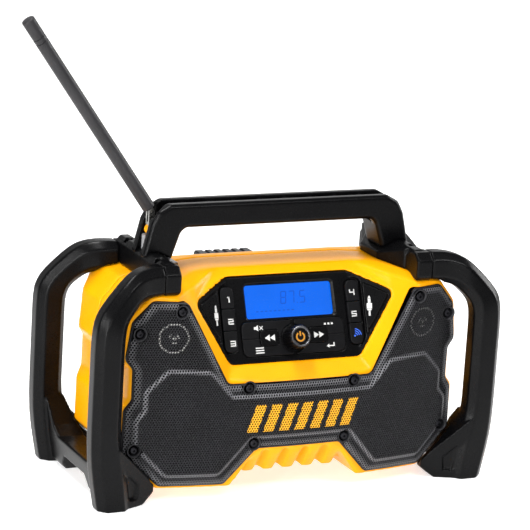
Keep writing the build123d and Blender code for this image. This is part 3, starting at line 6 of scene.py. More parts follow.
import bmesh
import bpy
import numpy as np
from mathutils import Matrix, Vector

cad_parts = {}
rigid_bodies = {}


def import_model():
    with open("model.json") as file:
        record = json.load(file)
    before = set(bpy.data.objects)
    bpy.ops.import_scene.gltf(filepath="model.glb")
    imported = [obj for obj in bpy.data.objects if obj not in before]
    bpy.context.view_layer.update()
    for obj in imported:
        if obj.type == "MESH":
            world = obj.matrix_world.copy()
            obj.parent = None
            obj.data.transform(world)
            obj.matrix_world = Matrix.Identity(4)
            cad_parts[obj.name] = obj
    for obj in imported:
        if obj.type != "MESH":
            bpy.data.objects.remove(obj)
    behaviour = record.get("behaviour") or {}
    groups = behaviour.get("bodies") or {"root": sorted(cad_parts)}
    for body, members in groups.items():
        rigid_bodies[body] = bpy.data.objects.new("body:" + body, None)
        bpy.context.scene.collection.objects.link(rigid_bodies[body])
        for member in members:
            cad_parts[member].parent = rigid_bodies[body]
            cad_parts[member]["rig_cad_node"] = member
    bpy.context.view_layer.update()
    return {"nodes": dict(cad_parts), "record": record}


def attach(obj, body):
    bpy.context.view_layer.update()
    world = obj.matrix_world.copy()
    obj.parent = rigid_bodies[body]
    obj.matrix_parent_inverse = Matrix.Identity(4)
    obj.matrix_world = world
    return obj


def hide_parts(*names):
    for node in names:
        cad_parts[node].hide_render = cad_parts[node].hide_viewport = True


bl_info = {
    "name": "Jobsite Radio",
    "version": (1, 0, 0),
    "blender": (4, 5, 0),
    "location": "3D View > Sidebar > Radio",
    "description": "Builds a caged jobsite radio piece by piece around its CAD frame",
    "category": "Object",
}

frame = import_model()
RECORD = frame["record"]
NODES = frame["nodes"]
BODY_OF = {node: body for body, nodes in RECORD["behaviour"]["bodies"].items() for node in nodes}
SLOT_OF = {part["node"]: part["material_slot"] for part in RECORD["subparts"]}

# ---------------------------------------------------------------- sizes, in millimetres
MM = 0.001
SHIFT = Vector((25.6244, 2.55, 0.0))  # from the radio's own middle to the frame's origin
MOST_TRIANGLES = 190000  # of one piece

# Control panel: its low edge, its lean, and the wings that fold back at its sides.
PANEL_Y, PANEL_Z, PANEL_RISE = -73.3, 126.3, 0.42
PANEL_SLOPE = math.atan(PANEL_RISE)
NORMAL = Vector((0, -math.cos(PANEL_SLOPE), math.sin(PANEL_SLOPE)))
UPWARD = Vector((0, math.sin(PANEL_SLOPE), math.cos(PANEL_SLOPE)))
PANEL_OUTLINE = [(67.3, 126.3), (102.5, 185.5), (62.8, 201.5)]
WING_FOLD, WING_LEAN, WING_MIDDLE = (62.8, 201.5), (0.446, 0.3935), (82.5, 171.0)

# What stands on the panel: where it is, and how far it stands proud.
KNOB_UP, KNOB_R, KNOB_H, KNOB_LOBES, KNOB_STEPS, LOBE_DEPTH = 21.0, 11.25, 16.5, 12, 144, 1.0
KNOB_PROFILE = [(KNOB_R, 0.5), (KNOB_R, 13.4), (11.05, 14.8), (10.5, 15.9), (9.8, 16.4), (9.0, KNOB_H),
                (7.6, 16.3), (6.9, 15.6), (6.75, 14.6), (6.75, 7.0), (4.3, 7.0), (4.3, 0.5)]
# The grey ring round the knob's face: a painted highlight on its bevel
KNOB_HIGHLIGHT_PROFILE = [(8.0, 16.25), (8.2, 16.62), (9.0, 16.72), (9.75, 16.5), (9.8, 16.2)]
POWER_SINK = 1.64
PRESET_X, PRESET_UP = 65.2, (62.6, 42.0, 21.4)
KEY_PROUD, CORNER_PROUD, SEEK_PROUD, COVER_PROUD = 2.4, 1.0, 2.0, 1.0
SEEK_X, SEEK_UP = 25.5, 22.8
DISPLAY_UP, FIGURES_DROP, FIGURES_SLANT = 57.6, 3.0, 0.1
PRINT_T, PRINT_GAP = 0.1, 0.05
NUMERAL_BY, NUMERAL_DROP = (1.6, -0.6), 1.8  # off the key's middle: on the left keys, on the right keys, down

# Grille: its outline, the fields pressed out of it, its curved front and its form.
GRILLE_OUTLINE = [(0.0, 111.7), (73.9, 111.7), (116.4, 191.1), (148.0, 192.5), (166.0, 172.0), (170.8, 136.1),
                  (163.6, 127.5), (163.3, 98.0), (170.2, 88.2), (171.0, 47.5), (135.7, 14.3), (73.9, 14.5),
                  (42.8, 48.1), (0.0, 48.1)]
FIELD_OUTLINE = [(0.0, 98.5), (72.0, 98.5), (94.0, 123.0), (132.0, 125.0), (150.5, 106.0), (150.5, 88.0),
                 (158.5, 79.0), (158.5, 56.0), (131.0, 27.5), (82.0, 27.5), (52.0, 62.0), (0.0, 62.0)]
GRILLE_CORNER_R, FIELD_CORNER_R = 7.0, 6.0
GRILLE_Y, GRILLE_ARC_R, SHEET_PROUD = -93.0, 669.0, 0.15
FIELD_RISE, FIELD_SLOPE = 2.4, 4.0
RIM_DROP, RIM_CURVE = 3.3, 1.5
RIM_RINGS = ((0.0, False, 5.2), (0.0, False, 3.6), (0.3, True, -0.25), (0.8, True, -0.25), (1.4, True, -0.25),
             (1.4, True, 0.9))  # how far inside the outline, on the pressed sheet or its arc, how far behind
SPAN_X, SPAN_Z, FORM_STEP = (-174.0, 174.1), (10.0, 196.1), 1.2  # what the form covers, and its mesh
HOLES_FROM, HOLES_SPAN, HOLE_MARGIN = (-173.0, 12.0), (346.0, 186.0), 1.6
CUP_ROOM, CUP_PROFILE = 5.6, [(7.0, 0.1), (6.6, -0.12), (6.1, -0.05), (5.4, 0.7), (4.9, 2.2), (4.6, 4.0)]
HIGHLIGHT_FROM, HIGHLIGHT_OVER, HIGHLIGHT_MOST = 0.12, 0.5, 0.36  # slopes where a pale highlight is painted on the sheet, and how far
TRAY_SKIN, TRAY_BACK = 1.8, 3.3
BARS_FROM, BARS_TO, BAR_PITCH, BAR_W, BAR_SLANT = (-56.0, 66.0), (54.0, 92.0), 15.9, 10.2, 0.32
TWEETER_X, TWEETER_Z, TWEETER_R, TWEETER_BACK = 128.6, 157.7, 13.5, 1.7

# Antenna mast: its pin, its lean, its length and radius, and the grooves near its tip.
MAST_PIN, MAST_LEAN, MAST_L, MAST_R = (-127.0, -5.0, 260.5), math.radians(35.4), 221.3, 6.2
GROOVES, GROOVE_R = (25.0, 20.0), 5.5

SCREW_HEAD = [(0.0, -1.5), (1.5, -1.5), (1.5, -0.1), (1.75, 0.0), (2.9, -0.1), (3.6, -0.5), (3.95, -1.2),
              (4.0, -2.55), (2.0, -2.6)]  # a drive socket, a domed top and the underside

# ---------------------------------------------------------------- stage, in metres
CAMERA_RIGHT, CAMERA_UP = (0.9061217, -0.4187029, 0.0602604), (0.0511324, 0.2498203, 0.9669412)
CAMERA_BACK, CAMERA_PLACE = (-0.4199154, -0.8730851, 0.2477769), (-1.050165, -2.227154, 0.832883)
CAMERA_LENS, CAMERA_SENSOR = 181.8, 36.0
WORLD_LIGHT = 0.20
LIGHTS = (  # name, place, width and height, share of the power
    ("key", (0.5, -1.6, 2.0), (0.9, 0.34), 0.52),
    ("top", (-0.5, 0.2, 2.3), (1.5, 0.36), 1.1),
    ("right", (2.0, 0.1, 0.9), (0.3, 1.4), 0.50),
    ("left", (-2.0, -0.7, 1.1), (0.16, 1.3), 0.32),
    ("edge", (-1.5, -1.1, 0.5), (0.08, 1.1), 0.42),
    ("front", (-0.7, -2.7, 0.6), (1.2, 0.5), 0.30))
LIGHTS_AIM = Vector((0.0, 0.0, 0.15))
SWEEP_Y, SWEEP_R, SWEEP_HALF_W, SWEEP_TOP, SWEEP_FRONT, FLOOR_GAP = 2.2, 1.2, 6.0, 5.0, -4.0, 0.0002
GLOW_LEAST, GLOW_AHEAD, GLOW_ASIDE, GLOW_LINE = 0.05, (-0.9, -0.35), (1.0, 0.5), (0.9, -0.42, 0.0)


def at(x, y, z):
    """A point of the radio's own millimetres in the frame, in metres."""
    return (Vector((x, y, z)) + SHIFT) * MM


def own(point):
    """A point of the frame, in the radio's own millimetres."""
    return point / MM - SHIFT


def on_panel(x, up, out=0.0):
    """A point on the control panel: across, up along it and out of it."""
    return at(x, *(Vector((PANEL_Y, PANEL_Z)) + UPWARD.yz * up + NORMAL.yz * out))


def panel_place(x, up, out, wide=1.0, high=1.0):
    """Sets a print out round a point of the panel, stretched by wide and high."""
    return lambda u, v, depth: on_panel(x + u * wide, up + v * high, out + depth)


def wing_frame(side):
    """Middle of a wing of the panel, and its across, up and out directions."""
    def spot(x, z):
        y = PANEL_Y + (WING_FOLD[1] - PANEL_Z) * PANEL_RISE
        lean = WING_LEAN[1] * (z - WING_FOLD[1]) - WING_LEAN[0] * (x - WING_FOLD[0])
        return Vector((side * x, y + lean, z))
    low, far, high = (spot(x, z) for x, z in PANEL_OUTLINE)
    out = (far - low).cross(high - low).normalized()
    out = out if out.y < 0 else -out
    across = Vector((0, 0, 1)).cross(out).normalized()
    return spot(*WING_MIDDLE), across, out.cross(across), out


def arc_y(x):
    """Where the grille's curved front lies at this X, or at each X of an array."""
    return GRILLE_Y + GRILLE_ARC_R - np.sqrt(GRILLE_ARC_R ** 2 - np.square(x))


# ---------------------------------------------------------------- outlines
def mirrored(half):
    """The right half of an outline, from the middle round to the middle, with its mirror image."""
    return half + [(-x, z) for x, z in reversed(half) if x > 0]


def rounded(points, radius, steps=5):
    """The outline with each corner turned into an arc, where its sides are long enough."""
    curved = []
    for before, here, after in zip(points[-1:] + points[:-1], points, points[1:] + points[:1]):
        here = Vector(here)
        towards, onward = Vector(before) - here, Vector(after) - here
        half = towards.angle(onward) / 2
        reach = min(radius / math.tan(half), 0.45 * towards.length, 0.45 * onward.length)
        if reach < 0.3:
            curved.append(tuple(here))
            continue
        start, end = here + towards.normalized() * reach, here + onward.normalized() * reach
        for k in range(steps + 1):
            t = k / steps
            curved.append(tuple(start * (1 - t) ** 2 + here * 2 * t * (1 - t) + end * t ** 2))
    return curved


def turning(points):
    """Twice the area of an outline: positive where it runs counterclockwise."""
    return sum(a[0] * b[1] - b[0] * a[1] for a, b in zip(points, points[1:] + points[:1]))


def grown(points, by):
    """The outline with each side moved out by this much, in for a negative value."""
    turn = 1 if turning(points) > 0 else -1
    moved = []
    for before, here, after in zip(points[-1:] + points[:-1], points, points[1:] + points[:1]):
        normals = [Vector((turn * (b[1] - a[1]), -turn * (b[0] - a[0]))).normalized()
                   for a, b in ((before, here), (here, after))]
        lean = normals[0] + normals[1]
        moved.append(tuple(Vector(here) + lean * by / (1 + normals[0].dot(normals[1]))))
    return moved


def inset_of(points, outline):
    """How far each point lies inside an outline; negative outside it."""
    nearest = np.full(len(points), 1e9)
    inside = np.zeros(len(points), bool)
    corners = np.array(outline)
    for a, b in zip(corners, np.roll(corners, -1, 0)):
        along = b - a
        t = np.clip(((points - a) @ along) / (along @ along), 0, 1)
        nearest = np.minimum(nearest, np.linalg.norm(points - a - t[:, None] * along, axis=1))
        if a[1] != b[1]:
            crosses = (a[1] > points[:, 1]) != (b[1] > points[:, 1])
            inside ^= crosses & (points[:, 0] < a[0] + (points[:, 1] - a[1]) * along[0] / along[1])
    return np.where(inside, nearest, -nearest)


def eased(value):
    """0 below 0, 1 above 1, and a smooth step between."""
    value = np.clip(value, 0, 1)
    return value * value * (3 - 2 * value)


def box(x0, y0, x1, y1):
    """A rectangle as an outline."""
    return [(x0, y0), (x1, y0), (x1, y1), (x0, y1)]


def stroke(a, b, width):
    """A straight line of even width as an outline."""
    a, b = Vector(a), Vector(b)
    side = (b - a).orthogonal().normalized() * width / 2
    return [tuple(a - side), tuple(b - side), tuple(b + side), tuple(a + side)]


def arc(x, y, radius, start, stop, width, steps=20):
    """A curved stroke as one outline, with its angles in degrees."""
    turns = [math.radians(start + (stop - start) * k / steps) for k in range(steps + 1)]
    outer, inner = ([(x + reach * math.cos(t), y + reach * math.sin(t)) for t in turns]
                    for reach in (radius + width / 2, radius - width / 2))
    return outer + inner[::-1]


def numeral(digit, wide=5.4, high=5.4, thick=1.05):
    """A plain square-built numeral from bars, centred on its place."""
    x, y, t = wide / 2, high / 2, thick
    bars = {"top": (-x, y - t, x, y), "mid": (-x, -t / 2, x, t / 2), "low": (-x, -y, x, t - y),
            "left up": (-x, 0.0, t - x, y), "left down": (-x, -y, t - x, 0.0),
            "right up": (x - t, 0.0, x, y), "right down": (x - t, -y, x, 0.0),
            "stem": (-t * 0.2, -y, t * 0.9, y), "flag": (-t * 1.3, y - t, t * 0.9, y)}
    kept = {"1": ("stem", "flag"), "2": ("top", "right up", "mid", "left down", "low"),
            "3": ("top", "right up", "mid", "right down", "low"),
            "4": ("left up", "mid", "right up", "right down"),
            "5": ("top", "left up", "mid", "right down", "low")}[digit]
    return [box(*bars[name]) for name in kept]


def display_figures(wide=6.0, high=12.0, thick=0.9, gap=0.5, cut=0.6):
    """A frequency in slanted seven-segment figures, over a row of small marks."""
    half = high / 2
    bars = {"a": (cut, high - thick, wide - cut, high),
            "g": (cut, half - thick / 2, wide - cut, half + thick / 2),
            "d": (cut, 0, wide - cut, thick), "f": (0, half + gap, thick, high - cut),
            "b": (wide - thick, half + gap, wide, high - cut), "e": (0, cut, thick, half - gap),
            "c": (wide - thick, cut, wide, half - gap)}
    shapes, x = [], -8.0
    for digit, kept in (("8", "abcdefg"), ("7", "abc"), (".", ""), ("5", "acdfg")):
        shapes += [[(x + u + FIGURES_SLANT * v, v) for u, v in box(*bars[name])] for name in kept]
        if digit == ".":
            shapes.append(box(x, 0.0, x + 1.0, 1.0))
        x += 8.6 if kept else 2.6
    return shapes + [box(-34 + k * 4.6, -6.5, -31.4 + k * 4.6, -5.6) for k in range(9)]


# Prints: a sleeve, tip and cable of a plug, and the marks of the corner keys with where they go.
PLUG = [box(-2.0, -2.4, 2.0, 3.6), box(-1.0, 4.0, 1.0, 9.0),
        [(-1.0, 9.5), (1.0, 9.5), (0.35, 12.0), (-0.35, 12.0)],
        [(-1.2, -5.0), (1.2, -5.0), (2.0, -2.8), (-2.0, -2.8)], box(-0.7, -11.0, 0.7, -5.4)]
PLUG_WIDE, PLUG_HIGH = 1.25, 0.82
# Node, side of the panel, and turn and shift of the print.
COVER_PRINTS = (("aux_port_cover", 1, 5.0, -3.2), ("charge_port_cover", -1, -8.0, 2.4))
CORNER_MARKS = {
    "mute_key": (-36.5, 32.6, [box(-2.6, -0.9, -1.4, 0.9),
                               [(-1.4, -0.9), (0.2, -2.1), (0.2, 2.1), (-1.4, 0.9)],
                               stroke((1.2, -1.2), (3.4, 1.2), 0.55), stroke((1.2, 1.2), (3.4, -1.2), 0.55)]),
    "mode_key": (37.0, 32.6, [box(x - 0.65, -0.65, x + 0.65, 0.65) for x in (-2.4, 0.0, 2.4)]),
    "menu_key": (-36.5, 11.6, [box(-2.8, y - 0.4, 2.8, y + 0.4) for y in (-1.7, 0.0, 1.7)]),
    "enter_key": (37.0, 11.6, [box(-1.0, -0.4, 2.8, 0.4), box(2.0, 0.4, 2.8, 2.2),
                               [(-2.8, 0.0), (-1.0, -1.4), (-1.0, 1.4)]]),
}
WAVES = ([arc(-2.2, -2.2, radius, 5, 85, 0.9, 10) for radius in (2.6, 4.6, 6.6)]
         + [arc(-2.2, -2.2, 0.5, 0, 359, 0.9, 12)])
SEEK_ARROWS = [[(x - 2.7, -3.0), (x + 2.4, 0.0), (x - 2.7, 3.0)] for x in (-2.4, 2.9)]
POWER_SIGN = [arc(0.0, -0.3, 3.9, -238, 58, 1.5, 32), box(-0.75, 0.4, 0.75, 4.9)]
TWEETER_TRIM = ([arc(0.0, 0.0, TWEETER_R, 180 * k, 180 * k + 180, 1.8, 18) for k in (0, 1)]
                + [arc(0.0, 0.0, 4.2, 120 * k, 120 * k + 60, 1.6, 6) for k in range(3)]
                + [arc(0.0, 0.0, 1.0, 0, 359, 1.9, 12)])


# ---------------------------------------------------------------- colour and nodes
def paint(code, alpha=1.0):
    """A colour from its sRGB hex code, as linear values."""
    values = [int(code[k:k + 2], 16) / 255 for k in (1, 3, 5)]
    return tuple(v / 12.92 if v <= 0.04045 else ((v + 0.055) / 1.055) ** 2.4 for v in values) + (alpha,)


def add(tree, kind, inputs=None, **settings):
    """Adds a node to a tree, with its settings, input values and links."""
    node = tree.nodes.new(kind)
    for name, value in settings.items():
        setattr(node, name, value)
    for name, value in (inputs or {}).items():
        if isinstance(value, bpy.types.NodeSocket):
            tree.links.new(value, node.inputs[name])
        else:
            node.inputs[name].default_value = value
    return node


MIX_A, MIX_B, MIX_RESULT = 6, 7, 2  # a Mix node's colour sockets

# Per slot or extra finish: colour, its darker or lighter companion, roughness from and to, and the grain,
# its height and the slow drift of the colour in mm. IOR 1.5, no coat and no metal unless it says otherwise.
FINISHES = {
    # Glossy ABS, injection moulded and spark-textured: a soft sheen with a faint orange-peel grain.
    "housing_yellow": dict(name="ABS_moulded_yellow", colour="#F8A806", other="#F5A003", rough=(0.25, 0.35),
                           grain=0.9, height=0.03, blotch=60.0, ior=1.53, coat=0.02, shine=0.14),
    # Glass-filled nylon for cages and handle: satin, with a fine pebbled grain that breaks highlights.
    "black_plastic": dict(name="nylon_moulded_black", colour="#040405", other="#09090A", rough=(0.24, 0.34),
                          grain=0.8, height=0.04, blotch=35.0, shine=0.12),
    # Punched steel, powder coated black: hard gloss with slight texture, and a pale grey painted on the
    # pressed slopes as their highlight.
    "grille_black": dict(name="steel_powder_coated", colour="#1E1E20", other="#27272A", rough=(0.22, 0.32),
                         grain=0.7, height=0.02, blotch=25.0, shine=0.22, slope_highlight="#B4B4B8"),
    # Steel in the shade behind the holes: nearly black and matt, uneven as dust lies on it.
    "steel_in_shade": dict(name="steel_in_shade", colour="#010101", other="#030303", rough=(0.8, 0.9),
                           grain=1.0, height=0.02, blotch=20.0, ior=1.45, shine=0.0),
    # Silicone keypad rubber: soft, matt, slightly dusty.
    "key_rubber": dict(name="silicone_keypad", colour="#09090A", other="#101012", rough=(0.36, 0.46),
                       grain=0.5, height=0.03, blotch=12.0, ior=1.42, shine=0.16),
    # Rubber sleeve of the antenna: dark grey, satin, with soft uneven patches.
    "antenna_rubber": dict(name="rubber_sleeve", colour="#242325", other="#2D2C2E", rough=(0.38, 0.50),
                           grain=0.8, height=0.03, blotch=30.0, shine=0.3),
    # Closed-cell foam rubber of the door's seal: dull, with small pits.
    "seal_rubber": dict(name="foam_rubber_seal", colour="#1B1B1C", other="#242425", rough=(0.7, 0.85),
                        grain=0.9, height=0.10, blotch=12.0),
    # Solder mask over glass fibre: glossy green.
    "board_green": dict(name="solder_mask_green", colour="#1E5A34", other="#276B40", rough=(0.3, 0.4),
                        grain=0.6, height=0.02, blotch=8.0, coat=0.2),
    # Glass-filled liquid crystal polymer of the sockets: dark, dry and even.
    "socket_black": dict(name="liquid_crystal_polymer", colour="#19191A", other="#222223", rough=(0.5, 0.6),
                         grain=0.4, height=0.02, blotch=8.0, ior=1.6),
    # Painted steel of the speaker baskets: grey with a thin gloss.
    "speaker_metal": dict(name="steel_painted_grey", colour="#3A3B3D", other="#4A4B4D", rough=(0.35, 0.5),
                          grain=0.8, height=0.03, blotch=20.0, coat=0.1),
    # Pressed and coated paper pulp: matt, fibrous.
    "cone_black": dict(name="paper_pulp_cone", colour="#18181A", other="#242426", rough=(0.7, 0.85),
                       grain=1.2, height=0.12, blotch=10.0, ior=1.45, shine=0.2),
    # Nickel-plated steel of the antenna's fork: bright with fine scratches.
    "bright_metal": dict(name="steel_nickel_plated", colour="#C6C5C0", other="#A9A8A4", rough=(0.20, 0.34),
                         grain=0.5, height=0.02, blotch=6.0, metallic=1.0),
    # A satin grey metal ring round the knob's face, lighter than the knob: its colour is a painted highlight
    # on the bevel, and its metal reflects the lamps as well.
    "knob_highlight": dict(name="nickel_satin_dark", colour="#77777A", other="#66666A", rough=(0.26, 0.36),
                      grain=0.4, height=0.01, blotch=5.0, metallic=1.0),
    # Zinc diecasting under the antenna's ball, painted mid grey: dull.
    "base_grey": dict(name="zinc_diecast_grey", colour="#98989A", other="#88888A", rough=(0.35, 0.5),
                      grain=0.6, height=0.03, blotch=6.0),
    # Screws of blackened steel: dark, with a tight metallic glint on the heads' edges.
    "screw_steel": dict(name="steel_black_oxide", colour="#2B2B2E", other="#212124", rough=(0.24, 0.36),
                        grain=0.4, height=0.02, blotch=4.0, metallic=1.0),
    # Pad-printed ink: flat, slightly chalky, with a faint unevenness.
    "print_white": dict(name="pad_print_white", colour="#CFCFCD", other="#CFCFCD", rough=(0.45, 0.6),
                        grain=0.4, height=0.01, blotch=5.0),
    "print_blue": dict(name="pad_print_blue", colour="#2F62D8", other="#2F62D8", rough=(0.45, 0.6),
                       grain=0.4, height=0.01, blotch=5.0),
    # Stoving enamel of the bars on the grille: the same chalky ink look, in yellow.
    "bar_yellow": dict(name="enamel_yellow_paint", colour="#F7B21A", other="#F7B21A", rough=(0.45, 0.6),
                       grain=0.4, height=0.01, blotch=5.0),
}
# Backlit finishes: name, colour and strength. The liquid crystal's lamp, its faint dark segments, and the
# amber print that a light-emitting diode shines through.
BACKLIT = {
    "display_blue": ("LCD_backlit_blue", "#0074FF", 1.0),
    "display_segment": ("LCD_segment", "#0A5CE6", 0.86),
    "power_amber": ("LED_amber_print", "#FFAE14", 0.9),
}
LOOK_OF = {"antenna_base": "base_grey"}  # a CAD node whose look isn't its slot's


def new_material(name):
    """An empty material: its tree, its shader and the piece's own coordinates."""
    made = bpy.data.materials.new(name)
    made.use_nodes = True
    tree = made.node_tree
    return made, tree, tree.nodes["Principled BSDF"], add(tree, "ShaderNodeTexCoord").outputs["Object"]


def noise(tree, place, size, **inputs):
    """Noise of about this size in mm."""
    values = {"Vector": place, "Scale": 1.0 / (size * MM)}
    values.update({name.capitalize(): value for name, value in inputs.items()})
    return add(tree, "ShaderNodeTexNoise", values).outputs["Fac"]


def ranged(tree, value, low, high, least=0.0, most=1.0):
    """The value, with low to high turned into least to most."""
    return add(tree, "ShaderNodeMapRange", {"Value": value, "From Min": low, "From Max": high,
                                            "To Min": least, "To Max": most}).outputs["Result"]


def blended(tree, factor, first, second):
    """A mix of two colours, each given or linked."""
    return add(tree, "ShaderNodeMix", {0: factor, MIX_A: first, MIX_B: second},
               data_type="RGBA").outputs[MIX_RESULT]


def moulded(name, colour, other, rough, grain, height, blotch, ior=1.5, coat=0.0, metallic=0.0, shine=0.5,
            slope_highlight=None):
    """A surface with slow colour drift, uneven gloss and a fine grain; grain and blotch are in mm."""
    made, tree, shader, place = new_material(name)
    drift = ranged(tree, noise(tree, place, blotch, detail=3.0, roughness=0.55), 0.3, 0.7)
    fine = noise(tree, place, grain, detail=2.0, roughness=0.5)
    tone = blended(tree, drift, paint(colour), paint(other))
    # A pale grey is mixed in where the 'pressed' attribute says: a painted highlight on the grille's slopes
    if slope_highlight:
        pressed = add(tree, "ShaderNodeAttribute", attribute_name="pressed").outputs["Fac"]
        tone = blended(tree, pressed, tone, paint(slope_highlight))
    bump = add(tree, "ShaderNodeBump", {"Height": fine, "Strength": 0.35, "Distance": height * MM})
    tree.links.new(tone, shader.inputs["Base Color"])
    tree.links.new(ranged(tree, fine, 0.25, 0.75, *rough), shader.inputs["Roughness"])
    tree.links.new(bump.outputs["Normal"], shader.inputs["Normal"])
    shader.inputs["Metallic"].default_value = metallic
    if not metallic:
        shader.inputs["IOR"].default_value = ior
        shader.inputs["Specular IOR Level"].default_value = shine
    shader.inputs["Coat Weight"].default_value = coat
    shader.inputs["Coat Roughness"].default_value = 0.12
    return made


def clear_window():
    """Polished acrylic: clear, with a sharp reflection."""
    made, tree, shader, place = new_material("acrylic_clear")
    tree.links.new(ranged(tree, noise(tree, place, 18.0), 0.0, 1.0, 0.0, 0.04), shader.inputs["Roughness"])
    shader.inputs["Base Color"].default_value = paint("#F4F8FF")
    shader.inputs["Transmission Weight"].default_value = 1.0
    shader.inputs["IOR"].default_value = 1.49
    shader.inputs["Specular IOR Level"].default_value = 0.05
    return made


def lit(name, code, strength):
    """A backlit panel: even light with a slight falloff from the lamp side."""
    made, tree, shader, place = new_material(name)
    level = ranged(tree, noise(tree, place, 45.0, detail=1.0), 0.3, 0.7, strength * 0.92, strength * 1.06)
    tree.links.new(level, shader.inputs["Emission Strength"])
    shader.inputs["Emission Color"].default_value = paint(code)
    shader.inputs["Base Color"].default_value = paint("#04142E")
    shader.inputs["Specular IOR Level"].default_value = 0.0
    shader.inputs["Roughness"].default_value = 0.5
    return made


MATERIALS = {}


def material(key):
    """The material of a slot of the record, or of an extra finish, made once."""
    if key not in MATERIALS:
        if key in FINISHES:
            MATERIALS[key] = moulded(**FINISHES[key])
        elif key in BACKLIT:
            MATERIALS[key] = lit(*BACKLIT[key])
        elif key == "window_clear":
            MATERIALS[key] = clear_window()
    return MATERIALS[key]


# ---------------------------------------------------------------- meshes and pieces
def placed(name, mesh, body, slot, replaced=()):
    """Puts a mesh in the scene as a piece that rides on a body, for the CAD nodes that it replaces."""
    piece = bpy.data.objects.new(name, mesh)
    bpy.context.scene.collection.objects.link(piece)
    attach(piece, body)
    if replaced:
        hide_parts(*replaced)


def shown(name, mesh, body, slot, look=None, replaced=()):
    """Places a piece in its slot's finish, or in another look."""
    mesh.materials.clear()
    mesh.materials.append(material(look or slot))
    placed(name, mesh, body, slot, replaced)


def spare(name, mesh):
    """A helper object that a node group reads; main takes it away at the end."""
    helper = bpy.data.objects.new(name, mesh)
    bpy.context.scene.collection.objects.link(helper)
    helper.hide_render = True
    return helper


def evaluated(piece):
    """The piece with its modifiers applied, as a plain mesh."""
    depsgraph = bpy.context.evaluated_depsgraph_get()
    return bpy.data.meshes.new_from_object(piece.evaluated_get(depsgraph), depsgraph=depsgraph)


def mesh_from(name, points, faces):
    mesh = bpy.data.meshes.new(name)
    mesh.from_pydata([tuple(p) for p in points], [], faces)
    mesh.validate()
    return mesh


def cleaned(mesh, distance, outward=False):
    """Merges the mesh's doubles and, if asked, turns its faces outwards."""
    work = bmesh.new()
    work.from_mesh(mesh)
    bmesh.ops.remove_doubles(work, verts=work.verts, dist=distance)
    if outward:
        bmesh.ops.recalc_face_normals(work, faces=work.faces)
    work.to_mesh(mesh)
    work.free()
    return mesh


def cad_copy(node):
    """A merged copy of a CAD node's mesh."""
    return cleaned(NODES[node].data.copy(), 2e-6)


def smooth(mesh, angle=None):
    """Smooth shading, but for edges sharper than the angle in degrees."""
    mesh.polygons.foreach_set("use_smooth", [True] * len(mesh.polygons))
    if angle is not None:
        mesh.set_sharp_from_angle(angle=math.radians(angle))
    mesh.update()
    return mesh


def softened(node, cell, passes):
    """Replaces a CAD node by the same shape with its corners rounded, as a mould leaves them."""
    work = bpy.data.objects.new("work", cad_copy(node))
    bpy.context.scene.collection.objects.link(work)
    remesh = work.modifiers.new("skin", "REMESH")
    remesh.mode, remesh.voxel_size = "VOXEL", cell
    ease = work.modifiers.new("round", "SMOOTH")
    ease.factor, ease.iterations = 0.5, passes
    result = evaluated(work)
    triangles = sum(len(p.vertices) - 2 for p in result.polygons)
    if triangles > MOST_TRIANGLES:
        work.modifiers.new("thin", "DECIMATE").ratio = MOST_TRIANGLES / triangles
        bpy.data.meshes.remove(result)
        result = evaluated(work)
    bpy.data.objects.remove(work)
    shown(node + "_moulded", smooth(result), BODY_OF[node], SLOT_OF[node], replaced=(node,))


def skin(name, loops, closed=False):
    """A skin over rings of equally many points; closed joins the last ring to the first."""
    count = len(loops[0])
    pairs = [(j, (j + 1) % len(loops)) for j in range(len(loops) if closed else len(loops) - 1)]
    faces = [[a * count + k, a * count + (k + 1) % count, b * count + (k + 1) % count, b * count + k]
             for a, b in pairs for k in range(count)]
    return cleaned(mesh_from(name, [p for loop in loops for p in loop], faces), 1e-6, outward=True)


def lathe(name, profile, steps):
    """A turned shape round local Z from its radius and height, closed where the radius is 0."""
    turns = [2 * math.pi * k / steps for k in range(steps)]
    loops = [[(r * MM * math.cos(t), r * MM * math.sin(t), h * MM) for t in turns] for r, h in profile]
    return skin(name, loops)


def plate(name, shapes, place, thick, body, slot, look):
    """Thin raised print: flat shapes, each a list of points, set out by place(u, v, out)."""
    points, faces = [], []
    for shape in shapes:
        first, count = len(points), len(shape)
        for out in (0.0, thick):
            points += [place(u, v, out) for u, v in shape]
        ring = list(range(count)) if turning(shape) > 0 else list(range(count))[::-1]
        faces.append([first + count + k for k in ring])
        faces.append([first + k for k in reversed(ring)])
        for a, b in zip(ring, ring[1:] + ring[:1]):
            faces.append([first + a, first + b, first + count + b, first + count + a])
    shown(name, cleaned(mesh_from(name, points, faces), 1e-6, outward=True), body, slot, look)


def screw_places(node):
    """Each CAD screw of a node: the middle of its head's top, the way the head faces, and its length."""
    work = bmesh.new()
    work.from_mesh(cad_copy(node))
    left, found = dict.fromkeys(work.verts), []  # in the mesh's order, so that every run gives the same
    while left:
        island, edge = [], [left.popitem()[0]]
        while edge:
            vertex = edge.pop()
            island.append(vertex)
            for link in vertex.link_edges:
                other = link.other_vert(vertex)
                if other in left:
                    del left[other]
                    edge.append(other)
        points = np.array([v.co for v in island])
        middle = (points.max(0) + points.min(0)) / 2
        spread = np.linalg.svd(points - points.mean(0), full_matrices=False)[2][0]
        along = (points - middle) @ spread
        around = np.linalg.norm(points - middle - np.outer(along, spread), axis=1)
        end = 1 if around[along > 0].max() > around[along < 0].max() else -1
        facing = spread * end
        tip = points[np.argsort(along * end)[:6]].mean(0)
        reach = (points - tip) @ facing
        found.append((Vector(tip + facing * reach.max()), Vector(facing), float(reach.max() - reach.min())))
    work.free()
    return found


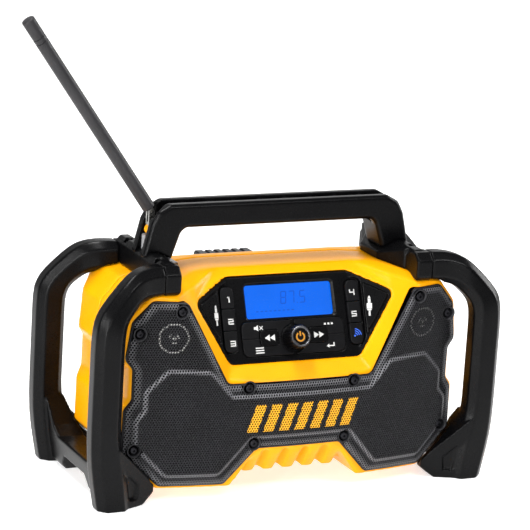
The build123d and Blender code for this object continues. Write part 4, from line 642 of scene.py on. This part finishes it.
# ---------------------------------------------------------------- node groups for what repeats
class Recipe:
    """A geometry node group under construction, with its named inputs."""

    def __init__(self, name, inputs):
        self.tree = bpy.data.node_groups.new(name, "GeometryNodeTree")
        sockets = self.tree.interface
        sockets.new_socket(name="Geometry", in_out="OUTPUT", socket_type="NodeSocketGeometry")
        self.ids = {label: sockets.new_socket(name=label, in_out="INPUT", socket_type=kind).identifier
                    for label, kind in inputs.items()}
        self.given = self.tree.nodes.new("NodeGroupInput").outputs

    def add(self, kind, inputs=None, **settings):
        return add(self.tree, kind, inputs, **settings)

    def maths(self, operation, *values):
        return self.add("ShaderNodeMath", dict(enumerate(values)), operation=operation).outputs[0]

    def split(self, vector):
        return self.add("ShaderNodeSeparateXYZ", {"Vector": vector}).outputs

    def joined(self, **parts):
        return self.add("ShaderNodeCombineXYZ", parts).outputs[0]

    def shape_of(self, label):
        return self.add("GeometryNodeObjectInfo", {"Object": self.given[label]}).outputs["Geometry"]

    def attribute(self, name, kind="FLOAT"):
        return self.add("GeometryNodeInputNamedAttribute", {"Name": name}, data_type=kind).outputs[0]

    def cast(self, target, value, source):
        """Casts rays back onto a target, and reads a value there."""
        return self.add("GeometryNodeRaycast", {"Target Geometry": target, "Attribute": value,
                                                "Source Position": source, "Ray Direction": (0.0, 1.0, 0.0),
                                                "Ray Length": 1.0}, data_type="FLOAT").outputs

    def finish(self, geometry, looks):
        """Ends in real geometry with its materials: pairs of material input and selection."""
        real = self.add("GeometryNodeRealizeInstances", {"Geometry": geometry}).outputs[0]
        for look, selection in looks:
            inputs = {"Geometry": real, "Material": look}
            if selection is not None:
                inputs["Selection"] = selection
            real = self.add("GeometryNodeSetMaterial", inputs).outputs[0]
        self.add("NodeGroupOutput", {"Geometry": real})

    def run(self, name, mesh, values):
        """Runs the group on a mesh and gives the plain result."""
        holder = bpy.data.objects.new(name, mesh)
        bpy.context.scene.collection.objects.link(holder)
        modifier = holder.modifiers.new(name, "NODES")
        modifier.node_group = self.tree
        for label, value in values.items():
            modifier[self.ids[label]] = value
        result = evaluated(holder)
        bpy.data.objects.remove(holder)
        return result


def repeat_recipe():
    """One source shape on every point, turned to the point's facing."""
    recipe = Recipe("Repeat on points", {"Geometry": "NodeSocketGeometry", "Source": "NodeSocketObject",
                                         "Material": "NodeSocketMaterial"})
    facing = recipe.attribute("facing", "FLOAT_VECTOR")
    turn = recipe.add("FunctionNodeAlignRotationToVector", {"Vector": facing}, axis="Z")
    copies = recipe.add("GeometryNodeInstanceOnPoints",
                        {"Points": recipe.given["Geometry"], "Instance": recipe.shape_of("Source"),
                         "Rotation": turn.outputs[0]})
    recipe.finish(copies.outputs[0], [(recipe.given["Material"], None)])
    return recipe


def points_mesh(places):
    """A mesh of loose points with a facing for each."""
    mesh = bpy.data.meshes.new("places")
    mesh.from_pydata([tuple(point) for point, _ in places], [], [])
    facing = mesh.attributes.new("facing", "FLOAT_VECTOR", "POINT")
    facing.data.foreach_set("vector", [c for _, way in places for c in way])
    return mesh


HEX_ROW = math.sqrt(0.75)  # the distance between a hexagonal pattern's rows, in pitches


def perforation_recipe():
    """Punched sheet: a hexagonal field of tiles, laid on the pressed form and painted where the bars are."""
    recipe = Recipe("Perforated sheet", {
        "Form": "NodeSocketObject", "Tile": "NodeSocketObject", "Pitch": "NodeSocketFloat",
        "Columns": "NodeSocketInt", "Rows": "NodeSocketInt", "Corner": "NodeSocketVector",
        "From X": "NodeSocketFloat", "To X": "NodeSocketFloat", "Margin": "NodeSocketFloat",
        "Bar pitch": "NodeSocketFloat", "Bar width": "NodeSocketFloat", "Bars from": "NodeSocketVector",
        "Bars to": "NodeSocketVector", "Steel": "NodeSocketMaterial", "Paint": "NodeSocketMaterial"})
    given, maths = recipe.given, recipe.maths
    form = recipe.shape_of("Form")
    here = recipe.add("GeometryNodeInputPosition").outputs[0]
    side = recipe.split(here)

    # The field of points, in front of the form.
    corner = recipe.split(given["Corner"])
    index = recipe.add("GeometryNodeInputIndex").outputs[0]
    row = maths("FLOOR", maths("DIVIDE", index, given["Columns"]))
    column = maths("SUBTRACT", index, maths("MULTIPLY", row, given["Columns"]))
    stagger = maths("MULTIPLY", maths("MODULO", row, 2.0), 0.5)
    x = maths("ADD", corner["X"], maths("MULTIPLY", maths("ADD", column, stagger), given["Pitch"]))
    z = maths("ADD", corner["Z"], maths("MULTIPLY", maths("MULTIPLY", row, given["Pitch"]), HEX_ROW))
    cloud = recipe.add("GeometryNodePoints", {"Count": maths("MULTIPLY", given["Columns"], given["Rows"]),
                                              "Position": recipe.joined(X=x, Y=corner["Y"], Z=z),
                                              "Radius": 0.001}).outputs[0]

    # Points off the sheet, under a screw or on the other half go; the rest each get a tile.
    over = recipe.cast(form, recipe.attribute("inset"), here)
    keep = maths("MULTIPLY", maths("GREATER_THAN", over["Attribute"], given["Margin"]),
                 maths("GREATER_THAN", side["X"], given["From X"]))
    keep = maths("MULTIPLY", keep, maths("SUBTRACT", 1.0, maths("GREATER_THAN", side["X"], given["To X"])))
    drop = maths("LESS_THAN", keep, 0.5)
    kept = recipe.add("GeometryNodeDeleteGeometry", {"Geometry": cloud, "Selection": drop},
                      domain="POINT").outputs[0]
    tiles = recipe.add("GeometryNodeInstanceOnPoints", {"Points": kept, "Instance": recipe.shape_of("Tile")})
    real = recipe.add("GeometryNodeRealizeInstances", {"Geometry": tiles.outputs[0]}).outputs[0]

    # The tiles are laid on the form, each corner by itself, and merged into one sheet.
    start = recipe.joined(X=side["X"], Y=corner["Y"], Z=side["Z"])
    # Each tile reads the form's 'thin' value, the strength of the highlight painted on the slopes, and keeps
    # it as 'pressed'
    laid = recipe.cast(form, recipe.attribute("thin"), start)
    real = recipe.add("GeometryNodeStoreNamedAttribute", {"Geometry": real, "Name": "pressed",
                                                          "Value": laid["Attribute"]},
                      data_type="FLOAT", domain="POINT").outputs[0]
    sink = recipe.joined(Y=maths("SUBTRACT", side["Y"], corner["Y"]))
    target = recipe.add("ShaderNodeVectorMath", {0: laid["Hit Position"], 1: sink}, operation="ADD")
    moved = recipe.add("GeometryNodeSetPosition", {"Geometry": real, "Selection": laid["Is Hit"],
                                                   "Position": target.outputs[0]}).outputs[0]
    whole = recipe.add("GeometryNodeMergeByDistance", {"Geometry": moved, "Distance": 2e-5}).outputs[0]

    # Slanted bars are painted on the sheet between two corners.
    low, high = recipe.split(given["Bars from"]), recipe.split(given["Bars to"])
    slant = maths("ADD", maths("SUBTRACT", side["X"], low["X"]),
                  maths("MULTIPLY", maths("SUBTRACT", low["Z"], side["Z"]), BAR_SLANT))
    within = maths("LESS_THAN", maths("MODULO", slant, given["Bar pitch"]), given["Bar width"])
    for test, value, limit in (("GREATER_THAN", slant, 0.0), ("GREATER_THAN", side["Z"], low["Z"]),
                               ("LESS_THAN", slant, maths("SUBTRACT", high["X"], low["X"])),
                               ("LESS_THAN", side["Z"], high["Z"])):
        within = maths("MULTIPLY", within, maths(test, value, limit))
    recipe.finish(whole, [(given["Steel"], None), (given["Paint"], maths("GREATER_THAN", within, 0.5))])
    return recipe


# ---------------------------------------------------------------- the grille
def pressed_sheet(outline, field, band):
    """A function that gives the Y of the pressed sheet at each X and Z, in mm."""
    def height(points):
        rim = RIM_DROP * np.power(1 - np.clip(inset_of(points, outline) / band, 0, 1), RIM_CURVE)
        rise = FIELD_RISE * eased((inset_of(points, field) + FIELD_SLOPE) / FIELD_SLOPE)
        return arc_y(points[:, 0]) + rim - rise - SHEET_PROUD
    return height


def grille_form(height, outline, screws):
    """The pressed form as a surface, with how far inside the rim it is and how strongly its slopes are
    painted with a highlight.
    """
    xs, zs = np.arange(*SPAN_X, FORM_STEP), np.arange(*SPAN_Z, FORM_STEP)
    grid = np.array([(x, z) for z in zs for x in xs])
    depth, inset, wide = height(grid), inset_of(grid, outline), len(xs)
    for top in screws:
        x, _, z = own(top)
        inset = np.minimum(inset, np.hypot(grid[:, 0] - x, grid[:, 1] - z) - CUP_ROOM)
    faces = [[r * wide + c, r * wide + c + 1, (r + 1) * wide + c + 1, (r + 1) * wide + c]
             for r in range(len(zs) - 1) for c in range(wide - 1)]
    form = mesh_from("grille_form", [at(x, y, z) for (x, z), y in zip(grid, depth)], faces)
    slope = np.hypot(*np.gradient((depth - arc_y(grid[:, 0])).reshape(len(zs), wide), FORM_STEP)).ravel()
    # thin: how strongly a pale highlight is painted on the sheet, rising with its slope
    thin = HIGHLIGHT_MOST * eased((slope - HIGHLIGHT_FROM) / HIGHLIGHT_OVER)
    for name, values in (("inset", inset * MM), ("thin", thin)):
        form.attributes.new(name, "FLOAT", "POINT").data.foreach_set("value", values)
    return spare("grille_form", form)


def grille_tile(pitch, hole, thick):
    """One hexagon of the sheet with its hole: a front, the hole's wall and a back."""
    ring = [math.radians(30 + 60 * k) for k in range(6)]
    points = [(r * math.cos(t), y, r * math.sin(t)) for y in (0.0, thick)
              for r in (pitch / math.sqrt(3), hole / math.sqrt(3)) for t in ring]
    faces = []
    for k in range(6):
        n = (k + 1) % 6
        faces += [[k, n, 6 + n, 6 + k], [6 + k, 6 + n, 18 + n, 18 + k], [12 + n, 12 + k, 18 + k, 18 + n]]
    return spare("grille_tile", mesh_from("tile", points, faces))


def grille_rim(height, outline):
    """Solid rim round the sheet: its wall, its rolled corner and its lip behind the sheet."""
    loops = []
    for inset, on_sheet, back in RIM_RINGS:
        loop = np.array(grown(outline, -inset))
        depth = (height(loop) if on_sheet else arc_y(loop[:, 0])) + back
        loops.append([at(x, y, z) for (x, z), y in zip(loop, depth)])
    shown("grille_rim", smooth(skin("grille_rim", loops), 50), "radio", "grille_black")


def grille_tray():
    """The tray behind the sheet, with its front pushed in so that the holes look dark."""
    tray = cad_copy("speaker_grille")
    for vertex in tray.vertices:
        x, y, _ = own(vertex.co)
        if y < float(arc_y(x)) + TRAY_SKIN:
            vertex.co.y += TRAY_BACK * MM
    shown("grille_tray", tray, "radio", "grille_black", "steel_in_shade", ("speaker_grille",))


def tweeter_trim(side):
    """The bright trim of a tweeter, which shows through the holes."""
    def place(u, v, depth):
        x = side * TWEETER_X + u
        return at(x, float(arc_y(x)) + TWEETER_BACK - depth, TWEETER_Z + v)
    name = "tweeter_trim_" + ("left" if side < 0 else "right")
    plate(name, TWEETER_TRIM, place, 0.5, "radio", "speaker_metal", "bright_metal")


# ---------------------------------------------------------------- what a user may change
def length(name, description, millimetres, **limits):
    """A length that a user may change, given in mm."""
    return bpy.props.FloatProperty(name=name, description=description, default=millimetres * MM,
                                   subtype="DISTANCE", unit="LENGTH", precision=5, **limits)


def colour(name, description, code):
    """A colour that a user may change."""
    return bpy.props.FloatVectorProperty(name=name, description=description, subtype="COLOR",
                                         default=paint(code)[:3], min=0.0, max=1.0)


class RadioGrilleSizes(bpy.types.PropertyGroup):
    """Sizes of the perforated grille."""
    pitch: length("Hole pitch", "Distance between holes", 2.55, min=1.8 * MM)
    hole: length("Hole width", "Width of each hole", 1.85)
    sheet: length("Sheet", "Thickness of the steel", 0.8)
    band: length("Rim band", "Width of the sloping band inside the rim", 8.5)
    bars: bpy.props.BoolProperty(name="Bars", default=True,
                                 description="Painted slanted bars below the panel")


class RadioMouldSizes(bpy.types.PropertyGroup):
    """How finely the moulded pieces are rounded."""
    housing: length("Housing cell", "Cell of the housing's skin", 1.5, min=1.0 * MM)
    cage: length("Cage cell", "Cell of the cages' skin", 1.15, min=0.8 * MM)
    handle: length("Handle cell", "Cell of the handle's skin", 0.95, min=0.7 * MM)
    door: length("Door cell", "Cell of the battery door's skin", 0.8, min=0.6 * MM)
    fascia: length("Fascia cell", "Cell of the control panel's skin", 0.6, min=0.5 * MM)
    latch: length("Latch cell", "Cell of the latch's skin", 0.5, min=0.3 * MM)
    key: length("Key cell", "Cell of the keys' skin", 0.42, min=0.25 * MM)
    cover: length("Cover cell", "Cell of the port covers' skin", 0.4, min=0.25 * MM)
    power: length("Power button cell", "Cell of the power button's skin", 0.28, min=0.2 * MM)


class RadioStageLook(bpy.types.PropertyGroup):
    """Floor and lights."""
    floor: colour("Floor", "Colour of the floor", "#DCDCDC")
    floor_glow: bpy.props.FloatProperty(name="Floor glow", default=0.64, min=0.0,
                                        description="Light of the floor itself, as of a lit sweep")
    key_power: bpy.props.FloatProperty(name="Lights", default=46.0, min=0.0, unit="POWER",
                                       description="Power that the softboxes share")


class RADIO_OT_stage(bpy.types.Operator):
    """Floor, soft studio lights and the camera"""
    bl_idname = "radio.stage"
    bl_label = "Stage"

    def execute(self, context):
        self.sweep(context)
        self.lights(context)
        self.camera(context)
        return {"FINISHED"}

    def sweep(self, context):
        """A paper floor that curves up behind, with its own light, which fades ahead and to the sides."""
        look = context.scene.radio_stage
        bend = [(SWEEP_Y + SWEEP_R * math.sin(t), SWEEP_R - SWEEP_R * math.cos(t))
                for t in np.linspace(0.1, math.pi / 2, 12)]
        rows = [(SWEEP_FRONT, 0.0), (SWEEP_Y, 0.0)] + bend + [(SWEEP_Y + SWEEP_R, SWEEP_TOP)]
        points = [(x, y, z - FLOOR_GAP) for y, z in rows for x in (-SWEEP_HALF_W, SWEEP_HALF_W)]
        faces = [[2 * k, 2 * k + 1, 2 * k + 3, 2 * k + 2] for k in range(len(rows) - 1)]
        mesh = smooth(mesh_from("studio_floor", points, faces))
        paper, tree, shader, place = new_material("paper_backdrop")
        tooth = add(tree, "ShaderNodeTexNoise", {"Vector": place, "Scale": 400.0}).outputs["Fac"]
        ahead = add(tree, "ShaderNodeSeparateXYZ", {"Vector": place}).outputs["Y"]
        across = add(tree, "ShaderNodeVectorMath", {0: place, 1: GLOW_LINE}, operation="DOT_PRODUCT")
        off = add(tree, "ShaderNodeMath", {0: across.outputs["Value"]}, operation="ABSOLUTE").outputs[0]
        near, within = ranged(tree, ahead, *GLOW_AHEAD), ranged(tree, off, *GLOW_ASIDE)
        share = add(tree, "ShaderNodeMath", {0: near, 1: within}, operation="MULTIPLY").outputs[0]
        glow = ranged(tree, share, 0.0, 1.0, GLOW_LEAST, look.floor_glow)
        tree.links.new(glow, shader.inputs["Emission Strength"])
        tree.links.new(ranged(tree, tooth, 0.0, 1.0, 0.7, 0.85), shader.inputs["Roughness"])
        shader.inputs["Base Color"].default_value = tuple(look.floor) + (1.0,)
        shader.inputs["Emission Color"].default_value = paint("#FFFFFF")
        mesh.materials.append(paper)
        floor = bpy.data.objects.new("studio_floor", mesh)
        context.scene.collection.objects.link(floor)

    def lights(self, context):
        world = bpy.data.worlds.new("studio")
        world.use_nodes = True
        background = world.node_tree.nodes["Background"].inputs
        background["Color"].default_value = paint("#FFFFFF")
        background["Strength"].default_value = WORLD_LIGHT
        context.scene.world = world
        context.scene.view_settings.view_transform = "Standard"
        for name, where, size, share in LIGHTS:
            lamp = bpy.data.lights.new(name, "AREA")
            lamp.shape, lamp.size, lamp.size_y = "RECTANGLE", *size
            lamp.energy = context.scene.radio_stage.key_power * share
            holder = bpy.data.objects.new("light_" + name, lamp)
            facing = (LIGHTS_AIM - Vector(where)).to_track_quat("-Z", "Y").to_matrix().to_4x4()
            holder.matrix_world = Matrix.Translation(where) @ facing
            context.scene.collection.objects.link(holder)

    def camera(self, context):
        lens = bpy.data.cameras.new("camera")
        lens.lens, lens.sensor_width, lens.clip_end = CAMERA_LENS, CAMERA_SENSOR, 100.0
        camera = bpy.data.objects.new("camera", lens)
        columns = zip(CAMERA_RIGHT, CAMERA_UP, CAMERA_BACK, CAMERA_PLACE)
        camera.matrix_world = Matrix(tuple(columns) + ((0.0, 0.0, 0.0, 1.0),))
        context.scene.collection.objects.link(camera)
        context.scene.camera = camera


class RADIO_OT_finishes(bpy.types.Operator):
    """Materials on every CAD node, by its slot in the record"""
    bl_idname = "radio.finishes"
    bl_label = "Finishes"

    def execute(self, context):
        for node, piece in NODES.items():
            piece.data.materials.clear()
            piece.data.materials.append(material(LOOK_OF.get(node, SLOT_OF[node])))
        return {"FINISHED"}


class RADIO_OT_housing(bpy.types.Operator):
    """Front and rear halves of the yellow housing"""
    bl_idname = "radio.housing"
    bl_label = "Housing"

    def execute(self, context):
        cell = context.scene.radio_mould.housing
        softened("front_housing", cell, 15)
        softened("rear_housing", cell, 8)
        return {"FINISHED"}


class RADIO_OT_cages(bpy.types.Operator):
    """Side cages with their hoops, rails and feet, and the shoulder brackets"""
    bl_idname = "radio.cages"
    bl_label = "Cages and brackets"

    def execute(self, context):
        cell = context.scene.radio_mould.cage
        for side in ("left", "right"):
            softened(side + "_cage", cell, 5)
            softened(side + "_bracket", cell * 0.8, 5)
        return {"FINISHED"}


class RADIO_OT_handle(bpy.types.Operator):
    """Carry handle"""
    bl_idname = "radio.handle"
    bl_label = "Carry handle"

    def execute(self, context):
        softened("carry_handle", context.scene.radio_mould.handle, 4)
        return {"FINISHED"}


class RADIO_OT_grille(bpy.types.Operator):
    """Perforated grille: pressed sheet with its bars, rim, tray, tweeter trims and screw cups"""
    bl_idname = "radio.grille"
    bl_label = "Speaker grille"

    def execute(self, context):
        sizes = context.scene.radio_grille
        outline = rounded(mirrored(GRILLE_OUTLINE), GRILLE_CORNER_R)
        field = rounded(mirrored(FIELD_OUTLINE), FIELD_CORNER_R)
        screws = [top for top, _, _ in screw_places("grille_screws")]
        height = pressed_sheet(outline, field, sizes.band / MM)
        self.sheets(sizes, grille_form(height, outline, screws))
        grille_rim(height, outline)
        grille_tray()
        for side in (-1, 1):
            tweeter_trim(side)
        self.cups(height, screws)
        return {"FINISHED"}

    def sheets(self, sizes, form):
        """The perforated sheet, as a left and a right half."""
        recipe = perforation_recipe()
        values = {
            "Form": form, "Tile": grille_tile(sizes.pitch, sizes.hole, sizes.sheet), "Pitch": sizes.pitch,
            "Columns": int(HOLES_SPAN[0] * MM / sizes.pitch) + 2,
            "Rows": int(HOLES_SPAN[1] * MM / (sizes.pitch * HEX_ROW)) + 1,
            "Corner": at(HOLES_FROM[0], -150.0, HOLES_FROM[1]), "Margin": HOLE_MARGIN * MM,
            "Bar pitch": BAR_PITCH * MM, "Bar width": BAR_W * MM if sizes.bars else 0.0,
            "Bars from": at(BARS_FROM[0], 0, BARS_FROM[1]), "Bars to": at(BARS_TO[0], 0, BARS_TO[1]),
            "Steel": material("grille_black"), "Paint": material("bar_yellow")}
        middle = SHIFT.x * MM
        for side, start, stop in (("left", -1.0, middle), ("right", middle, 1.0)):
            values["From X"], values["To X"] = start, stop
            sheet = recipe.run("sheet", bpy.data.meshes.new("empty"), values)
            placed("grille_sheet_" + side, sheet, "radio", "grille_black")

    def cups(self, height, screws):
        """A pressed cup round each screw's head."""
        places = []
        for top in screws:
            x, _, z = own(top)
            places.append((at(x, float(height(np.array([(x, z)]))[0]), z), (0.0, -1.0, 0.0)))
        source = spare("grille_cup", lathe("cup", [(r, -h) for r, h in CUP_PROFILE], 20))
        cups = repeat_recipe().run("cups", points_mesh(places), {"Source": source,
                                                                 "Material": material("grille_black")})
        shown("grille_cups", smooth(cups), "radio", "grille_black")


class RADIO_OT_screws(bpy.types.Operator):
    """All visible screws, set out from the CAD screws"""
    bl_idname = "radio.screws"
    bl_label = "Screws"

    def execute(self, context):
        recipe = repeat_recipe()
        for group in ("grille", "bracket", "handle", "cage", "housing"):
            places = screw_places(group + "_screws")
            long = places[0][2] / MM
            profile = SCREW_HEAD + [(2.0, 0.4 - long), (1.2, -long), (0.0, -long)]
            source = spare(group + "_screw", lathe("screw", profile, 12))
            screws = recipe.run("screws", points_mesh([(top, facing) for top, facing, _ in places]),
                                {"Source": source, "Material": material("screw_steel")})
            shown(group + "_screws_turned", smooth(screws, 40), "radio", "screw_steel",
                  replaced=(group + "_screws",))
        return {"FINISHED"}


class RADIO_OT_panel(bpy.types.Operator):
    """Control panel and its port covers, with their pictograms"""
    bl_idname = "radio.panel"
    bl_label = "Control panel"

    def execute(self, context):
        sizes = context.scene.radio_mould
        softened("control_fascia", sizes.fascia, 3)
        for node, side, turn, shift in COVER_PRINTS:
            softened(node, sizes.cover, 3)
            middle, across, up, out = wing_frame(side)
            cos, sin = math.cos(math.radians(turn)), math.sin(math.radians(turn))

            def place(u, v, depth):
                u, v = u * PLUG_WIDE, v * PLUG_HIGH
                flat = middle + across * (shift + u * cos - v * sin) + up * (u * sin + v * cos)
                return at(*(flat + out * (depth + COVER_PROUD + PRINT_T)))
            plate(node + "_print", PLUG, place, 0.12, BODY_OF[node], "black_plastic", "print_white")
        return {"FINISHED"}


class RADIO_OT_display(bpy.types.Operator):
    """Figures of the backlit display behind the window"""
    bl_idname = "radio.display"
    bl_label = "Display"

    def execute(self, context):
        foot = Vector((0, PANEL_Y, PANEL_Z))
        face = max((own(v.co) - foot).dot(NORMAL) for v in NODES["display_module"].data.vertices)
        place = panel_place(0.0, DISPLAY_UP - FIGURES_DROP, face + 0.02)
        plate("display_figures", display_figures(), place, 0.03, BODY_OF["display_module"], "display_blue",
              "display_segment")
        return {"FINISHED"}


class RADIO_OT_keys(bpy.types.Operator):
    """Preset, corner and seek keys with their prints"""
    bl_idname = "radio.keys"
    bl_label = "Keys"

    def execute(self, context):
        cell = context.scene.radio_mould.key
        prints = {}
        for k in range(6):
            column, x, up = k // 3, PRESET_X * (1 if k > 2 else -1), PRESET_UP[k % 3]
            shapes, look = WAVES, "print_blue"
            if k < 5:
                x, up = x + NUMERAL_BY[column], up - NUMERAL_DROP
                shapes, look = numeral(str(k + 1)), "print_white"
            prints[f"preset_key_{k + 1}"] = 5, shapes, look, panel_place(x, up, KEY_PROUD + PRINT_GAP)
        for node, (x, up, shapes) in CORNER_MARKS.items():
            place = panel_place(x, up, CORNER_PROUD + PRINT_GAP, 1.5, 1.35)
            prints[node] = 3, shapes, "print_white", place
        for node, way in (("rewind_key", -1), ("forward_key", 1)):
            place = panel_place(way * SEEK_X, SEEK_UP, SEEK_PROUD + PRINT_GAP, way)
            prints[node] = 3, SEEK_ARROWS, "print_white", place
        for node, (passes, shapes, look, place) in prints.items():
            softened(node, cell, passes)
            plate(node + "_print", shapes, place, PRINT_T, BODY_OF[node], "key_rubber", look)
        return {"FINISHED"}


class RADIO_OT_knob(bpy.types.Operator):
    """Volume ring with a grey ring painted on as the highlight of its bevel, and the power button"""
    bl_idname = "radio.knob"
    bl_label = "Knob"

    def execute(self, context):
        body, slot = BODY_OF["volume_ring"], SLOT_OF["volume_ring"]
        ring = [self.circle(r, h, KNOB_STEPS, self.scallop(r, h)) for r, h in KNOB_PROFILE]
        shown("volume_ring_moulded", smooth(skin("volume_ring", ring, True), 40), body, slot,
              replaced=("volume_ring",))
        # A grey metal ring on the bevel: a painted highlight
        trim = [self.circle(r, h, 96) for r, h in KNOB_HIGHLIGHT_PROFILE]
        shown("volume_ring_trim", smooth(skin("volume_ring_trim", trim, True), 60), body, slot, "knob_highlight")
        softened("power_button", context.scene.radio_mould.power, 3)
        plate("power_print", POWER_SIGN, panel_place(0.0, KNOB_UP, KNOB_H - POWER_SINK), PRINT_T,
              BODY_OF["power_button"], "key_rubber", "power_amber")
        return {"FINISHED"}

    def scallop(self, radius, high):
        """How deep the grip's hollows are at this radius and height; none on the face or at the foot."""
        return LOBE_DEPTH * min(1.0, (radius - 8.9) / 1.6) if radius > 8.9 and high > 4.0 else 0.0

    def circle(self, radius, high, steps, hollow=0.0):
        """A ring of points round the knob's axis, drawn in by a hollow between lobes."""
        ring = []
        for turn in (2 * math.pi * k / steps for k in range(steps)):
            reach = radius - hollow * max(0.0, math.cos(KNOB_LOBES * turn)) ** 2
            ring.append(on_panel(reach * math.cos(turn), KNOB_UP + reach * math.sin(turn), high))
        return ring


class RADIO_OT_antenna(bpy.types.Operator):
    """Rubber sleeve of the antenna's mast"""
    bl_idname = "radio.antenna"
    bl_label = "Antenna"

    def execute(self, context):
        profile = [(0.0, 3.05), (5.4, 3.05), (6.1, 3.6), (MAST_R, 4.4)]
        for groove in (MAST_L - back for back in GROOVES):
            profile += [(MAST_R, groove - 0.3), (GROOVE_R, groove), (GROOVE_R, groove + 1.0),
                        (MAST_R, groove + 1.3)]
        profile += [(MAST_R, MAST_L - 1.2), (5.9, MAST_L - 0.35), (5.2, MAST_L), (0.0, MAST_L)]
        mesh = lathe("mast", profile, 40)
        mesh.transform(Matrix.Translation(at(*MAST_PIN)) @ Matrix.Rotation(-MAST_LEAN, 4, "Y"))
        shown("antenna_sleeve", smooth(mesh, 45), "antenna_mast", "antenna_rubber",
              replaced=("antenna_mast",))
        return {"FINISHED"}


class RADIO_OT_battery_door(bpy.types.Operator):
    """Battery door and its latch"""
    bl_idname = "radio.battery_door"
    bl_label = "Battery door"

    def execute(self, context):
        sizes = context.scene.radio_mould
        softened("battery_door", sizes.door, 3)
        softened("door_latch", sizes.latch, 3)
        return {"FINISHED"}


STEPS = (RADIO_OT_stage, RADIO_OT_finishes, RADIO_OT_housing, RADIO_OT_cages, RADIO_OT_handle,
         RADIO_OT_grille, RADIO_OT_screws, RADIO_OT_panel, RADIO_OT_display, RADIO_OT_keys, RADIO_OT_knob,
         RADIO_OT_antenna, RADIO_OT_battery_door)
GROUPS = {"radio_grille": RadioGrilleSizes, "radio_mould": RadioMouldSizes, "radio_stage": RadioStageLook}


class RADIO_PT_panel(bpy.types.Panel):
    """The radio's pieces in the sidebar"""
    bl_idname = "RADIO_PT_panel"
    bl_label = "Jobsite Radio"
    bl_space_type = "VIEW_3D"
    bl_region_type = "UI"
    bl_category = "Radio"

    def draw(self, context):
        column = self.layout.column()
        for group in (getattr(context.scene, name) for name in GROUPS):
            for name in group.bl_rna.properties.keys():
                if name not in ("rna_type", "name"):
                    column.prop(group, name)
        for step in STEPS:
            column.operator(step.bl_idname)


def register():
    for group in GROUPS.values():
        bpy.utils.register_class(group)
    for name, group in GROUPS.items():
        setattr(bpy.types.Scene, name, bpy.props.PointerProperty(type=group))
    for shown_class in STEPS + (RADIO_PT_panel,):
        bpy.utils.register_class(shown_class)


def unregister():
    for shown_class in reversed(STEPS + (RADIO_PT_panel,)):
        bpy.utils.unregister_class(shown_class)
    for name in GROUPS:
        delattr(bpy.types.Scene, name)
    for group in GROUPS.values():
        bpy.utils.unregister_class(group)


def main():
    """Registers the add-on, builds every piece and takes away the helper objects."""
    register()
    for step in STEPS:
        section, name = step.bl_idname.split(".")
        getattr(getattr(bpy.ops, section), name)()
    for helper in [o for o in bpy.data.objects if o.hide_render and "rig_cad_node" not in o]:
        bpy.data.objects.remove(helper)


if __name__ == "__main__":
    main()
